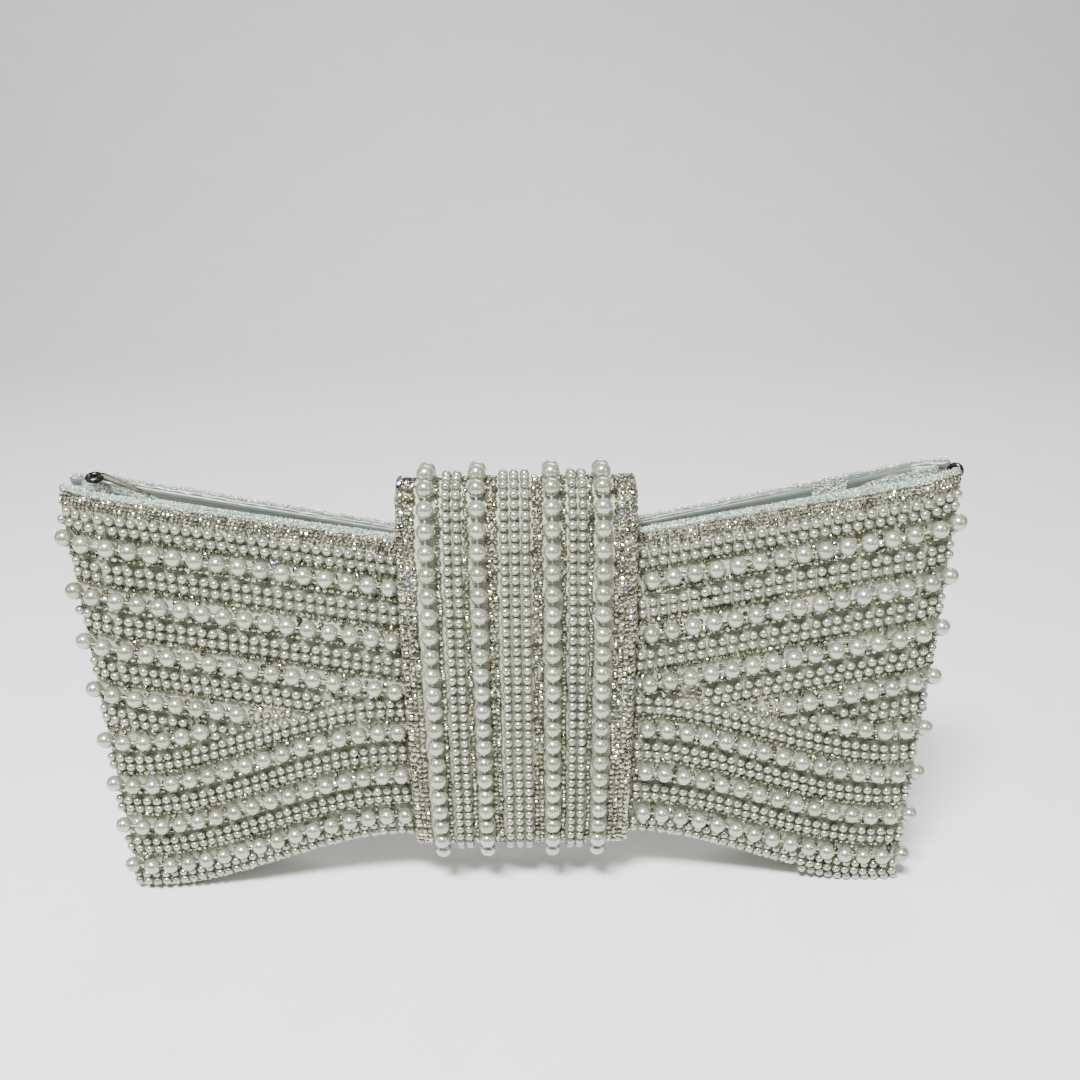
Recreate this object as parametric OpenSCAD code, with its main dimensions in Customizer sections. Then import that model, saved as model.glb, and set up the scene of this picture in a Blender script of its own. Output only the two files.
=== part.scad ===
// Bow-shaped beaded evening clutch: two beaded wings, an arched knot flap and a front panel that tilts open.
// Origin: middle of the footprint, on the surface that the bag stands on. Front is -Y, +Z is up.

/* [Bag] */
// Width between the fabric edges of the two wings
bag_w = 291; // [265:1:310]
// Height of the lips at the wing ends
end_h = 158; // [150:1:165]
// Drop of the lips from the wing ends to the knot
lip_drop = 20; // [15:1:23]
// Rise of the bottom edge from the wing ends to the knot
waist_rise = 22.5; // [17:0.5:26]
// Half depth of the bag at its base, at the wing ends
base_half = 14.5; // [14:0.5:17]
// Crown of each panel at the wing ends
crown_end = 1.5; // [1:0.5:4]
// Crown of each panel at the knot
crown_mid = 6; // [5:0.5:9]

/* [Mouth] */
// Half width of the mouth at the knot, which pinches it
mouth_knot = 3; // [3:0.1:3.4]
// Half width that the mouth opens towards at the wing ends
mouth_wide = 7.5; // [7:0.25:9]
// Thickness of a lip binding
lip_t = 2.8; // [2.8:0.1:3]
// Height of a lip binding
lip_h = 3.6; // [3.4:0.1:4]
// Radius of the middle of a corner ring's wire loop
ring_r = 2; // [1.8:0.1:2.2]
// Radius of a corner ring's wire
ring_wire_r = 0.7; // [0.5:0.05:0.75]

/* [Knot] */
// Width of the knot flap
knot_w = 77; // [74:1:78]
// Offset of the flap's middle from the middle of the bag
knot_x = 2.5; // [2:0.1:2.6]
// Height of the fold line of the flap on the back
fold_z = 129.6; // [128:0.2:131]
// How far the control points of the arch stand above its feet
arch_lift = 24.5; // [23:0.5:26]

/* [Beads] */
// Radius of a large pearl
pearl_r = 3; // [2.8:0.1:3.1]
// Pitch of the large pearls along a row
pearl_pitch = 6.95; // [6.9:0.05:7]
// Distance from one row of large pearls to the next
row_pitch = 18.1; // [17.8:0.1:18.4]

/* [Hidden] */
half_w = bag_w / 2;
knot_half = knot_w / 2;
waist_half = 35.5;
skin_t = 1.2;
board_t = 1.4;
lining_t = 0.6;
gap = 0.3;
board_off = skin_t + 0.5;
lining_off = board_off + board_t + gap;
bottom_roll = 3.5;
end_roll = 7.25;
end_roll_sin = sin(65);
end_roll_cos = cos(65);
end_pinch = 0.1;
rise_start = 0.07;
rise_run = 0.88;
base_t = 2;
waist_base_cut = 2;
binding_end = half_w - 1;
corner_run = 13;
corner_close = 0.55;
gusset_x = half_w - 2.8;
gusset_t = 1.5;
gusset_drop = 6;
cord_r = 2.1;
flap_clear = 1.2;
flap_room = 3;
flap_room_start = 70;
flap_bottom = 22.9;
flap_lining_t = 0.6;
flap_board_off = 0.8;
flap_skin_off = 2.4;
flap_t = flap_skin_off + skin_t;
magnet_r = 5;
magnet_t = 1;
magnet_z = 76;
first_pearl_x = 40.2;
end_pearl_x = 144.2;
last_full = 14;
pearl_stand = pearl_r + gap;

function clamp(t) = max(0, min(1, t));
function smooth(t) = let (c = clamp(t)) c * c * (3 - 2 * c);
// 0 at the fabric edge of a wing, 1 along the level waist behind the knot
function along(x) = clamp((half_w - abs(x)) / (half_w - waist_half));
function rise(x) = smooth((along(x) - rise_start) / rise_run);
function lip_z(x) = end_h - lip_drop * along(x);
function bottom_z(x) = waist_rise * rise(x);
// Half width of the mouth: narrow at the knot, wide near the ends, rounded in at the corners
function mouth(x) = (mouth_knot + (mouth_wide - mouth_knot) * (1 - along(x)))
    * (1 - corner_close * smooth((abs(x) - half_w + corner_run) / corner_run));
function up_panel(x, z) = clamp((z - bottom_z(x)) / (lip_z(x) - bottom_z(x)));
// Distance of the outer fabric of a panel from the middle plane
function depth(x, z) =
    let (
        u = along(x),
        v = up_panel(x, z),
        crown = crown_end + (crown_mid - crown_end) * u,
        foot = base_half - waist_base_cut * u,
        t = 1 - clamp((z - bottom_z(x)) / bottom_roll),
        roll = bottom_roll * (1 - sqrt(1 - t * t)) * 0.85,
        a = end_roll_sin * clamp((abs(x) - half_w + end_roll) / end_roll),
        pinch = end_pinch * (1 - sqrt(1 - a * a)) / (1 - end_roll_cos)
    )
    (foot * (1 - v) + (mouth(x) + lip_t) * v + 4 * crown * v * (1 - v) - roll) * (1 - pinch);

// Stations across the bag, closer together where the ends roll back
wing_steps = 15;
wing_run = half_w - end_roll - waist_half;
half_stations = concat(
    [waist_half / 2],
    [for (i = [0 : wing_steps]) waist_half + wing_run * i / wing_steps],
    [for (i = [1 : 4]) half_w - end_roll + end_roll * i / 4]);
stations = concat(
    [for (i = [len(half_stations) - 1 : -1 : 0]) -half_stations[i]], [0], half_stations);
function within(list, limit) = concat([-limit], [for (x = list) if (abs(x) < limit - 1) x], [limit]);
every_other = [for (i = [0 : 2 : len(stations) - 1]) stations[i]];

// Closed solid between two grids of nx by nz points, the outer one first
function grid_faces(nx, nz) =
    let (n = nx * nz)
    concat(
        [for (j = [0 : nz - 2]) for (i = [0 : nx - 2]) let (a = j * nx + i, d = a + nx)
            each [[a, d, d + 1], [a, d + 1, a + 1], [n + a, n + a + 1, n + d + 1], [n + a, n + d + 1, n + d]]],
        [for (i = [0 : nx - 2]) let (a = i, d = (nz - 1) * nx + i)
            each [[a, a + 1, n + a + 1], [a, n + a + 1, n + a], [d + 1, d, n + d], [d + 1, n + d, n + d + 1]]],
        [for (j = [0 : nz - 2]) let (a = j * nx, d = a + nx, b = a + nx - 1, c = b + nx)
            each [[d, a, n + a], [d, n + a, n + d], [b, c, n + c], [b, n + c, n + b]]]);

// A front panel layer of thickness t, off(x, z) behind the outer fabric
module layer(xs, rows, low, high, off, t) {
    function at(x, f) = low(x) + (high(x) - low(x)) * f;
    points = [for (side = [0, 1]) for (f = rows) for (x = xs)
        let (z = at(x, f)) [x, -(depth(x, z) - off(x, z) - side * t), z]];
    polyhedron(points, grid_faces(len(xs), len(rows)), convexity = 4);
}

// A strip between two runs of [y, z] points, carried along the stations xs; the loop they make is
// counter-clockwise seen from +X
module rail(xs, outer, inner, y_of, z_of) {
    h = len(outer);
    n = 2 * h;
    m = len(xs);
    loop = concat(outer, [for (k = [h - 1 : -1 : 0]) inner[k]]);
    points = [for (x = xs) for (p = loop) [x, y_of(x) + p[0], z_of(x) + p[1]]];
    sides = [for (i = [0 : m - 2]) for (k = [0 : n - 1]) let (a = i * n + k, b = i * n + (k + 1) % n)
        each [[a, b + n, b], [a, a + n, b + n]]];
    last = (m - 1) * n;
    caps = [for (k = [0 : h - 2])
        each [[k, k + 1, n - 2 - k, n - 1 - k], [last + n - 1 - k, last + n - 2 - k, last + k + 1, last + k]]];
    polyhedron(points, concat(sides, caps), convexity = 6);
}

skin_rows = concat([0, 0.006, 0.014, 0.026], [for (i = [1 : 9]) 0.026 + 0.974 * i / 9]);
inner_rows = [for (i = [0 : 9]) i / 9];
skin_low = function (x) bottom_z(x) + gap;
skin_high = function (x) lip_z(x) - lip_h - 0.2;

module panel_skin() {
    layer(stations, skin_rows, skin_low, skin_high, function (x, z) 0, skin_t);
}

module panel_board() {
    layer(within(every_other, 130), inner_rows,
        function (x) bottom_z(x) + base_t + 2 * gap, function (x) lip_z(x) - lip_h - 3,
        function (x, z) board_off, board_t);
}

module panel_lining() {
    layer(within(every_other, 130), inner_rows,
        function (x) bottom_z(x) + base_t + 2 * gap, function (x) lip_z(x) - lip_h - 1,
        function (x, z) lining_off, lining_t);
}

module front_skin() { color([0.72, 0.74, 0.71]) panel_skin(); }
module back_skin() { color([0.70, 0.72, 0.69]) mirror([0, 1, 0]) panel_skin(); }

module magnet_window(r) {
    translate([0, -depth(0, magnet_z), magnet_z]) rotate([90, 0, 0]) cylinder(h = 12, r = r, center = true, $fn = 64);
}

module front_board() {
    color([0.62, 0.55, 0.44]) difference() {
        panel_board();
        magnet_window(magnet_r + 0.3);
    }
}
module back_board() { color([0.62, 0.55, 0.44]) mirror([0, 1, 0]) panel_board(); }
module front_lining() { color([0.55, 0.63, 0.62]) panel_lining(); }
module back_lining() { color([0.55, 0.63, 0.62]) mirror([0, 1, 0]) panel_lining(); }

module base_panel() {
    xs = within(stations, half_w - end_roll / 4);
    wall = skin_t + 0.5;
    points = [for (side = [-1, 1]) for (dz = [0, base_t]) for (x = xs)
        [x, side * (depth(x, bottom_z(x) + (dz > 0 ? base_t + gap : gap)) - wall), bottom_z(x) + dz]];
    color([0.66, 0.68, 0.66]) polyhedron(points, grid_faces(len(xs), 2), convexity = 4);
}

// Side panel between the edges of the front and back skins
module gusset(side) {
    low = base_t + gap + 0.5;
    levels = [for (i = [0 : 8]) low + (end_h - gusset_drop - low) * i / 8];
    function half(z) = depth(gusset_x + gusset_t, z) - skin_t - 0.4;
    outline = concat([for (z = levels) [half(z), z]], [for (i = [8 : -1 : 0]) [-half(levels[i]), levels[i]]]);
    color([0.68, 0.71, 0.69]) translate([side < 0 ? -gusset_x - gusset_t : gusset_x, 0, 0])
        rotate([90, 0, 90]) linear_extrude(gusset_t) polygon(outline);
}
module gusset_left() { gusset(-1); }
module gusset_right() { gusset(1); }

// Lip bindings: an upside-down U over the wire that stiffens the lip
binding_outer = [[0, -lip_h], [0, -0.4], [-0.4, 0], [0.4 - lip_t, 0], [-lip_t, -0.4], [-lip_t, -lip_h]];
binding_inner = [
    [-0.7, -lip_h], [-0.7, -0.9], [-0.9, -0.7], [0.9 - lip_t, -0.7], [0.7 - lip_t, -0.9], [0.7 - lip_t, -lip_h]];
module lip() {
    rail(within(stations, binding_end), binding_outer, binding_inner,
        function (x) -mouth(x), function (x) lip_z(x));
}
module lip_wire() {
    rail(within(stations, binding_end - 1), [[-0.85, -3.2], [-0.85, -1]], [[0.85 - lip_t, -3.2], [0.85 - lip_t, -1]],
        function (x) -mouth(x), function (x) lip_z(x));
}
module front_lip() { color([0.80, 0.87, 0.84]) lip(); }
module back_lip() { color([0.80, 0.87, 0.84]) mirror([0, 1, 0]) lip(); }
module front_lip_wire() { color([0.50, 0.50, 0.51]) lip_wire(); }
module back_lip_wire() { color([0.50, 0.50, 0.51]) mirror([0, 1, 0]) lip_wire(); }

// Dark metal rings at the mouth's corners: the left one leans back, the right one is turned to the corner
ring_out = ring_r + ring_wire_r;
left_ring = [-135.5, 0.3, end_h + 0.4];
right_ring = [144.9, -2.2, end_h - 1.7];
module corner_ring(place, turn) {
    color([0.30, 0.30, 0.31]) translate(place) rotate(turn)
        rotate_extrude($fn = 64) translate([ring_r, 0]) circle(r = ring_wire_r, $fn = 24);
}
module corner_ring_left() { corner_ring(left_ring, [65, 0, 0]); }
module corner_ring_right() { corner_ring(right_ring, [90, 0, -40]); }

// Fabric tabs that carry the rings on the tops of the gussets
tab_low = end_h - gusset_drop + 0.2;
tab_t = 1.2;
module ring_tab_left() {
    top = left_ring[2] - ring_out - 0.1;
    color([0.80, 0.87, 0.84]) {
        translate([-gusset_x - tab_t, -1.5, top - tab_t])
            cube([gusset_x + tab_t + left_ring[0] + 1.5, 3, tab_t]);
        translate([-gusset_x - tab_t, -1.5, tab_low]) cube([tab_t, 3, top - tab_low]);
    }
}
module ring_tab_right() {
    color([0.80, 0.87, 0.84]) translate([gusset_x + 0.1, -3, tab_low])
        cube([tab_t, 4, right_ring[2] - ring_out - 0.2 - tab_low]);
}

// Flat metal stay from the left ring down to the corner of the pocket
stay_length = 15;
stay_drop = 24;
module pocket_stay() {
    color([0.36, 0.35, 0.34]) translate([left_ring[0] + ring_out + 1.2, 0.1, end_h + 0.9])
        rotate([0, stay_drop, -3]) translate([0, 0, -2]) cube([stay_length, 0.8, 2]);
}

// Slack pocket inside the back, its top edge near the middle of the mouth
pocket_half = 118;
pocket_off = function (x, z) lining_off + lining_t + 0.6 + 0.5 * mouth(x) * smooth((up_panel(x, z) - 0.5) / 0.5);
module slip_pocket() {
    color([0.60, 0.67, 0.66]) mirror([0, 1, 0])
        layer(within(every_other, pocket_half), inner_rows,
            function (x) 48, function (x) lip_z(x) - 3.2, pocket_off, lining_t);
}
module pocket_binding() {
    outer = [[1.15, -1], [1.15, 0.3], [0.95, 0.5], [-0.35, 0.5], [-0.55, 0.3], [-0.55, -1]];
    inner = [[0.95, -1], [0.95, 0], [0.85, 0.1], [-0.25, 0.1], [-0.35, 0], [-0.35, -1]];
    color([0.80, 0.87, 0.84]) rail(within(every_other, pocket_half), outer, inner,
        function (x) depth(x, lip_z(x) - 3) - pocket_off(x, lip_z(x) - 3) - lining_t,
        function (x) lip_z(x) - 3);
}
module inner_tab() {
    color([0.82, 0.88, 0.86]) translate([101, 2.6, 143.5]) cube([11, 0.6, 7.2]);
}

// Curve of the flap's inner face in the middle plane, as [y, z]
fold_y = depth(0, fold_z) + 0.35 + cord_r;
leg_y = fold_y - 1.8;
leg_z = fold_z + cord_r + 0.4;
shoulder_z = 134;
run_levels = [for (i = [0 : 16]) flap_bottom + (shoulder_z - flap_bottom) * i / 16];
// The flap stands further off towards its shoulder, so that it clears the front lip as it lifts
front_run = [for (z = run_levels)
    [-depth(0, z) - flap_clear - flap_room * smooth((z - flap_room_start) / (shoulder_z - flap_room_start)), z]];
shoulder = front_run[len(front_run) - 1];
lean = let (p = front_run[len(front_run) - 2], d = shoulder - p) d / norm(d);
function bezier(a, b, c, d, t) =
    pow(1 - t, 3) * a + 3 * pow(1 - t, 2) * t * b + 3 * (1 - t) * t * t * c + t * t * t * d;
arch_run = [for (i = [1 : 16])
    bezier(shoulder, shoulder + arch_lift * lean, [leg_y, leg_z + arch_lift], [leg_y, leg_z], i / 16)];
flap_curve = concat(front_run, arch_run);
band_curve = [for (z = run_levels) if (z < fold_z - 8) [depth(0, z) + flap_clear, z]];

// Point i of a curve, moved out by off along the curve's normal
function moved(curve, i, off, turn = 1) =
    let (
        a = curve[max(0, i - 1)],
        b = curve[min(len(curve) - 1, i + 1)],
        d = (b - a) / norm(b - a)
    )
    curve[i] + turn * off * [-d[1], d[0]];
function strip(curve, lo, hi, turn = 1) =
    concat([for (i = [0 : len(curve) - 1]) moved(curve, i, lo, turn)],
        [for (i = [len(curve) - 1 : -1 : 0]) moved(curve, i, hi, turn)]);
module across(half) {
    translate([knot_x - half, 0, 0]) rotate([90, 0, 90]) linear_extrude(2 * half) children();
}

// Part of a curve above its closed foot, and the same run on past its upper end
foot_share = (skin_t + gap) / (shoulder_z - flap_bottom) * 16;
function above_foot(curve, share = foot_share) =
    concat([curve[0] + (curve[1] - curve[0]) * share], [for (i = [1 : len(curve) - 1]) curve[i]]);
function run_on(curve) =
    let (e = len(curve) - 1) concat(curve, [curve[e] + (curve[e] - curve[e - 1]) * 0.4]);

// Outer fabric of a band: face, side returns and a closed lower end
module band_skin(curve, turn) {
    difference() {
        across(knot_half) polygon(strip(curve, 0, flap_t, turn));
        across(knot_half - skin_t)
            polygon(strip(run_on(above_foot(curve, foot_share * 0.8)), -0.5, flap_skin_off, turn));
    }
}
module knot_skin() { color([0.72, 0.74, 0.71]) band_skin(flap_curve, 1); }
module knot_board() {
    color([0.62, 0.55, 0.44]) difference() {
        across(knot_half - skin_t - gap)
            polygon(strip(above_foot(flap_curve), flap_board_off, flap_skin_off - 0.2));
        magnet_window(magnet_r + 0.3);
    }
}
module knot_lining() {
    color([0.55, 0.63, 0.62]) across(knot_half - skin_t - gap)
        polygon(strip(above_foot(flap_curve), 0, flap_lining_t));
}
module knot_magnet() {
    color([0.60, 0.60, 0.62]) translate([0, -depth(0, magnet_z) - flap_clear - 1, magnet_z])
        rotate([90, 0, 0]) cylinder(h = magnet_t, r = magnet_r, $fn = 64);
}
module front_magnet() {
    color([0.60, 0.60, 0.62]) translate([0, -depth(0, magnet_z) + board_off + 0.2, magnet_z])
        rotate([-90, 0, 0]) cylinder(h = magnet_t, r = magnet_r, $fn = 64);
}
module fold_cord() {
    color([0.72, 0.74, 0.71]) translate([knot_x - knot_half, fold_y, fold_z]) rotate([0, 90, 0])
        cylinder(h = knot_w, r = cord_r, $fn = 48);
}
module back_band_skin() { color([0.70, 0.72, 0.69]) band_skin(band_curve, -1); }
module back_band_board() {
    color([0.62, 0.55, 0.44])
        across(knot_half - skin_t - gap) polygon(strip(above_foot(band_curve), 0, flap_skin_off - 0.2, -1));
}

// Crystal edging along both sides of the flap
module knot_edging(side) {
    color([0.78, 0.77, 0.72]) translate([side * (knot_half - 2), 0, 0])
        across(1.8) polygon(strip([for (i = [1 : len(flap_curve) - 2]) flap_curve[i]], flap_t + 0.05, flap_t + 0.95));
}
module knot_edging_left() { knot_edging(-1); }
module knot_edging_right() { knot_edging(1); }

// Centre of a large pearl that sits on the front panel at [x, z]
function seat(x, z) =
    let (
        e = 0.05,
        dx = (depth(x + e, z) - depth(x - e, z)) / (2 * e),
        dz = (depth(x, z + e) - depth(x, z - e)) / (2 * e),
        n = [-dx, -1, -dz] / norm([dx, 1, dz])
    )
    [x, -depth(x, z), z] + pearl_stand * n;
function pearl_x(i) = i > last_full ? end_pearl_x : first_pearl_x + pearl_pitch * i;
// Rows 1 to 4 follow the lip, rows 5 to 8 follow the bottom edge
function upper_row(k, x) = lip_z(x) - 16.6 - row_pitch * (k - 1);
function lower_row(k, x) = 12.4 + row_pitch * (8 - k) + 0.97 * bottom_z(x);
module pearl(p) { translate(p) sphere(r = pearl_r, $fn = 48); }
// Full rows start at pearl `first`, and rows 4 and 5 are short
module upper_pearls(first) {
    for (k = [1 : 4]) for (i = [(k == 4 ? 8 : first) : last_full + 1])
        pearl(seat(pearl_x(i), upper_row(k, pearl_x(i))));
}
module lower_pearls(first) {
    for (k = [5 : 8]) for (i = [(k == 5 ? 10 : first) : last_full + 1])
        pearl(seat(pearl_x(i), lower_row(k, pearl_x(i))));
}
// The knot covers the place of the first pearl on the right
module pearls(upper, left, back) {
    first = left ? 0 : 1;
    color([0.90, 0.91, 0.89]) mirror([left ? 1 : 0, 0, 0]) mirror([0, back ? 1 : 0, 0])
        if (upper) upper_pearls(first); else lower_pearls(first);
}
module pearls_front_left_upper() { pearls(true, true, false); }
module pearls_front_left_lower() { pearls(false, true, false); }
module pearls_front_right_upper() { pearls(true, false, false); }
module pearls_front_right_lower() { pearls(false, false, false); }
module pearls_back_left_upper() { pearls(true, true, true); }
module pearls_back_left_lower() { pearls(false, true, true); }
module pearls_back_right_upper() { pearls(true, false, true); }
module pearls_back_right_lower() { pearls(false, false, true); }

// Pearl columns on the knot, spaced along the outer fabric
columns = [-26.8, -10.2, 13.9, 30.4];
function sums(v, i = 0, total = 0, out = []) =
    i == len(v) ? out : sums(v, i + 1, total + v[i], concat(out, [total + v[i]]));
function run_lengths(path) =
    concat([0], sums([for (i = [1 : len(path) - 1]) norm(path[i] - path[i - 1])]));
function on_path(path, lengths, s) =
    let (i = max([for (k = [0 : len(lengths) - 2]) if (lengths[k] <= s) k]))
    path[i] + (path[i + 1] - path[i]) * (s - lengths[i]) / (lengths[i + 1] - lengths[i]);
flap_centres = [for (i = [0 : len(flap_curve) - 1]) moved(flap_curve, i, flap_t + pearl_stand)];
flap_lengths = run_lengths(flap_centres);
column_start = 2;
column_pitch = 7;
column_count = floor((flap_lengths[len(flap_lengths) - 1] - column_start - 5) / column_pitch) + 1;
module flap_column(x) {
    color([0.90, 0.91, 0.89]) for (i = [0 : column_count - 1])
        let (p = on_path(flap_centres, flap_lengths, column_start + column_pitch * i)) pearl([x, p[0], p[1]]);
}
module knot_pearls_1() { flap_column(columns[0]); }
module knot_pearls_2() { flap_column(columns[1]); }
module knot_pearls_3() { flap_column(columns[2]); }
module knot_pearls_4() { flap_column(columns[3]); }
band_centres = [for (i = [0 : len(band_curve) - 1]) moved(band_curve, i, flap_t + pearl_stand, -1)];
band_lengths = run_lengths(band_centres);
band_count = floor((band_lengths[len(band_lengths) - 1] - column_start - 4) / column_pitch) + 1;
module back_band_pearls() {
    color([0.90, 0.91, 0.89]) for (x = columns)
        for (i = [0 : band_count - 1])
            let (p = on_path(band_centres, band_lengths, column_start + column_pitch * i)) pearl([x, p[0], p[1]]);
}

front_skin();
back_skin();
gusset_left();
gusset_right();
base_panel();
front_board();
back_board();
front_lining();
back_lining();
slip_pocket();
pocket_binding();
inner_tab();
front_lip();
back_lip();
front_lip_wire();
back_lip_wire();
corner_ring_left();
corner_ring_right();
ring_tab_left();
ring_tab_right();
pocket_stay();
front_magnet();
knot_skin();
knot_board();
knot_lining();
knot_magnet();
knot_edging_left();
knot_edging_right();
fold_cord();
back_band_skin();
back_band_board();
back_band_pearls();
knot_pearls_1();
knot_pearls_2();
knot_pearls_3();
knot_pearls_4();
pearls_front_left_upper();
pearls_front_left_lower();
pearls_front_right_upper();
pearls_front_right_lower();
pearls_back_left_upper();
pearls_back_left_lower();
pearls_back_right_upper();
pearls_back_right_lower();
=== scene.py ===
# Bow-shaped beaded evening clutch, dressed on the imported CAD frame.
# Shapes are worked out in millimetres in the frame's own axes and written to the meshes in metres.
import math

import bmesh
import bpy
import numpy as np
from mathutils import Matrix, Vector
from mathutils.kdtree import KDTree


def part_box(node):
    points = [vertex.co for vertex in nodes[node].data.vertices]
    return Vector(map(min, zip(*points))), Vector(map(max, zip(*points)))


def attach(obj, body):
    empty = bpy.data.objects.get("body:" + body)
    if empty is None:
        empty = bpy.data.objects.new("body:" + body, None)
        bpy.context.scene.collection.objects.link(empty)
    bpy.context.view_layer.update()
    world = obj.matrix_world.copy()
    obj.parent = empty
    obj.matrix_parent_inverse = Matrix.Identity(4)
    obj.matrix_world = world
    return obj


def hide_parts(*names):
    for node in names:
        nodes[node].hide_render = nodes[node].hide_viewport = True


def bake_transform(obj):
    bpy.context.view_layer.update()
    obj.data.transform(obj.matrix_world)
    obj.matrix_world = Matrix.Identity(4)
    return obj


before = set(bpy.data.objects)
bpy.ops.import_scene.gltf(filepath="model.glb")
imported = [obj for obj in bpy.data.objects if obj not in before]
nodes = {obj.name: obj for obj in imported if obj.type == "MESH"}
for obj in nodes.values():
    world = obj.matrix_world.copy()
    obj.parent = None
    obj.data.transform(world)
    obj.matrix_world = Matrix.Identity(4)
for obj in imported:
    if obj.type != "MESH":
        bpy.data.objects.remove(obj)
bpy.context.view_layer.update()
rng = np.random.default_rng(818)
MM = 0.001

# ---------------------------------------------------------------- sizes, as in the CAD source
HALF_W = 145.5
WAIST_HALF = 35.5
KNOT_HALF = 38.5
KNOT_X = 2.5
END_H = 158.0
LIP_DROP = 20.0
WAIST_RISE = 22.5
CUT_START = 0.07
CUT_RUN = 0.88
BASE_HALF = 14.5
WAIST_BASE_CUT = 2.0
CROWN_END = 1.5
CROWN_MID = 6.0
MOUTH_KNOT = 3.0
MOUTH_WIDE = 7.5
LIP_T = 2.8
CORNER_RUN = 13
CORNER_SHUT = 0.55
BOTTOM_ROLL = 3.5
ROLL_SHARE = 0.85
END_ROLL = 7.25
END_ROLL_ANGLE = math.radians(65)
END_PINCH = 0.1
SKIN_T = 1.2
LINING_OFF = 3.4
LINING_HALF = 141.0
PEARL_R = 3.0
PEARL_STAND = 3.3
ROW_PITCH = 18.1
UPPER_FIRST = 16.6
LOWER_FIRST = 12.4
FOLD_Z = 129.6
CORD_R = 2.1
FLAP_CLEAR = 1.2
FLAP_ROOM = 3.0
FLAP_ROOM_START = 70.0
FLAP_BOTTOM = 22.9
FLAP_T = 3.6
BAND_TOP = 120.11
SHOULDER_Z = 134.0
ARCH_LIFT = 24.5
COLUMN_X = (-26.8, -10.2, 13.9, 30.4)
COLUMN_START = 2.0
COLUMN_PITCH = 7.0
GUSSET_X = 143.5

# pieces and details that the CAD leaves out
SMALL_R = 1.66
SMALL_PITCH = 3.5
STONE_R = 1.08
STONE_PITCH = 2.15
LIP_STONE_R = 0.74
# from a row of large pearls to the rows of small ones and of stones beyond it
SMALL_STEPS = (7.4, 10.9)
STONE_STEPS = (4.2, 14.0)
# how close beads may come, as a share of their radii together
SMALL_PACK = 0.88
STONE_PACK = 0.86
FILL_PACK = 0.88
FILL_ROUNDS = 6
FILL_TRIES = 2500
# differences in size from bead to bead
PEARL_SPREAD = 0.015
SMALL_SPREAD = 0.04
# from the knot's side to the first small pearl and the first stone of a row
SMALL_GAP = 2.6
STONE_GAP = 1.6
THREAD_R = 0.28
TAPE_T = 0.9
THIN = 0.45
POCKET_HALF = 118.0
POCKET_FOOT = 48.0
POCKET_DROP = 3.2
STITCH_R = 0.16
RIPPLE_WAVES = 14


# ---------------------------------------------------------------- the shape of a panel
def clamp(t):
    return np.clip(t, 0.0, 1.0)


def smooth(t):
    c = clamp(t)
    return c * c * (3 - 2 * c)


def xyz(*parts):
    """Points from their separate coordinates."""
    return np.stack(parts, -1)


def unit(vectors):
    return vectors / np.linalg.norm(vectors, axis=-1, keepdims=True)


def run_of(points):
    """Distance along a line up to each of its points."""
    return np.concatenate([[0], np.cumsum(np.linalg.norm(np.diff(points, axis=0), axis=1))])


def circle(count):
    return np.linspace(0, 2 * math.pi, count, endpoint=False)


def in_mm(box):
    return [np.array(corner) / MM for corner in box]


def along(x):
    """0 at the fabric edge of a wing, 1 along the level waist behind the knot."""
    return clamp((HALF_W - np.abs(x)) / (HALF_W - WAIST_HALF))


def bottom_z(x):
    return WAIST_RISE * smooth((along(x) - CUT_START) / CUT_RUN)


def lip_z(x):
    return END_H - LIP_DROP * along(x)


def mouth(x):
    corner = 1 - CORNER_SHUT * smooth((np.abs(x) - HALF_W + CORNER_RUN) / CORNER_RUN)
    return (MOUTH_KNOT + (MOUTH_WIDE - MOUTH_KNOT) * (1 - along(x))) * corner


def depth(x, z):
    """Distance of the outer fabric of a panel from the middle plane."""
    u = along(x)
    low = bottom_z(x)
    v = clamp((z - low) / (lip_z(x) - low))
    crown = CROWN_END + (CROWN_MID - CROWN_END) * u
    foot = BASE_HALF - WAIST_BASE_CUT * u
    t = 1 - clamp((z - low) / BOTTOM_ROLL)
    roll = BOTTOM_ROLL * (1 - np.sqrt(1 - t * t)) * ROLL_SHARE
    a = math.sin(END_ROLL_ANGLE) * clamp((np.abs(x) - HALF_W + END_ROLL) / END_ROLL)
    pinch = END_PINCH * (1 - np.sqrt(1 - a * a)) / (1 - math.cos(END_ROLL_ANGLE))
    flat = foot * (1 - v) + (mouth(x) + LIP_T) * v + 4 * crown * v * (1 - v) - roll
    return flat * (1 - pinch)


def panel_normal(x, z):
    """Outward normal of the front panel."""
    e = 0.05
    dx = (depth(x + e, z) - depth(x - e, z)) / (2 * e)
    dz = (depth(x, z + e) - depth(x, z - e)) / (2 * e)
    return unit(xyz(-dx, -np.ones_like(dx), -dz))


def panel_point(x, z, off=0.0):
    """Points on the front panel, moved out by off along the normal."""
    return xyz(x, -depth(x, z), z) + panel_normal(x, z) * off


# ---------------------------------------------------------------- the curve of the flap
def bezier(a, b, c, d, t):
    t = t[:, None]
    return (1 - t) ** 3 * a + 3 * (1 - t) ** 2 * t * b + 3 * (1 - t) * t * t * c + t**3 * d


def even(points, step):
    """The same line with points at even steps."""
    run = run_of(points)
    s = np.linspace(0, run[-1], max(2, int(round(run[-1] / step)) + 1))
    return np.stack([np.interp(s, run, points[:, k]) for k in range(points.shape[1])], -1)


FOLD_Y = float(depth(np.array(0.0), FOLD_Z)) + 0.35 + CORD_R
LEG = np.array([FOLD_Y - 1.8, FOLD_Z + CORD_R + 0.4])


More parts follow.
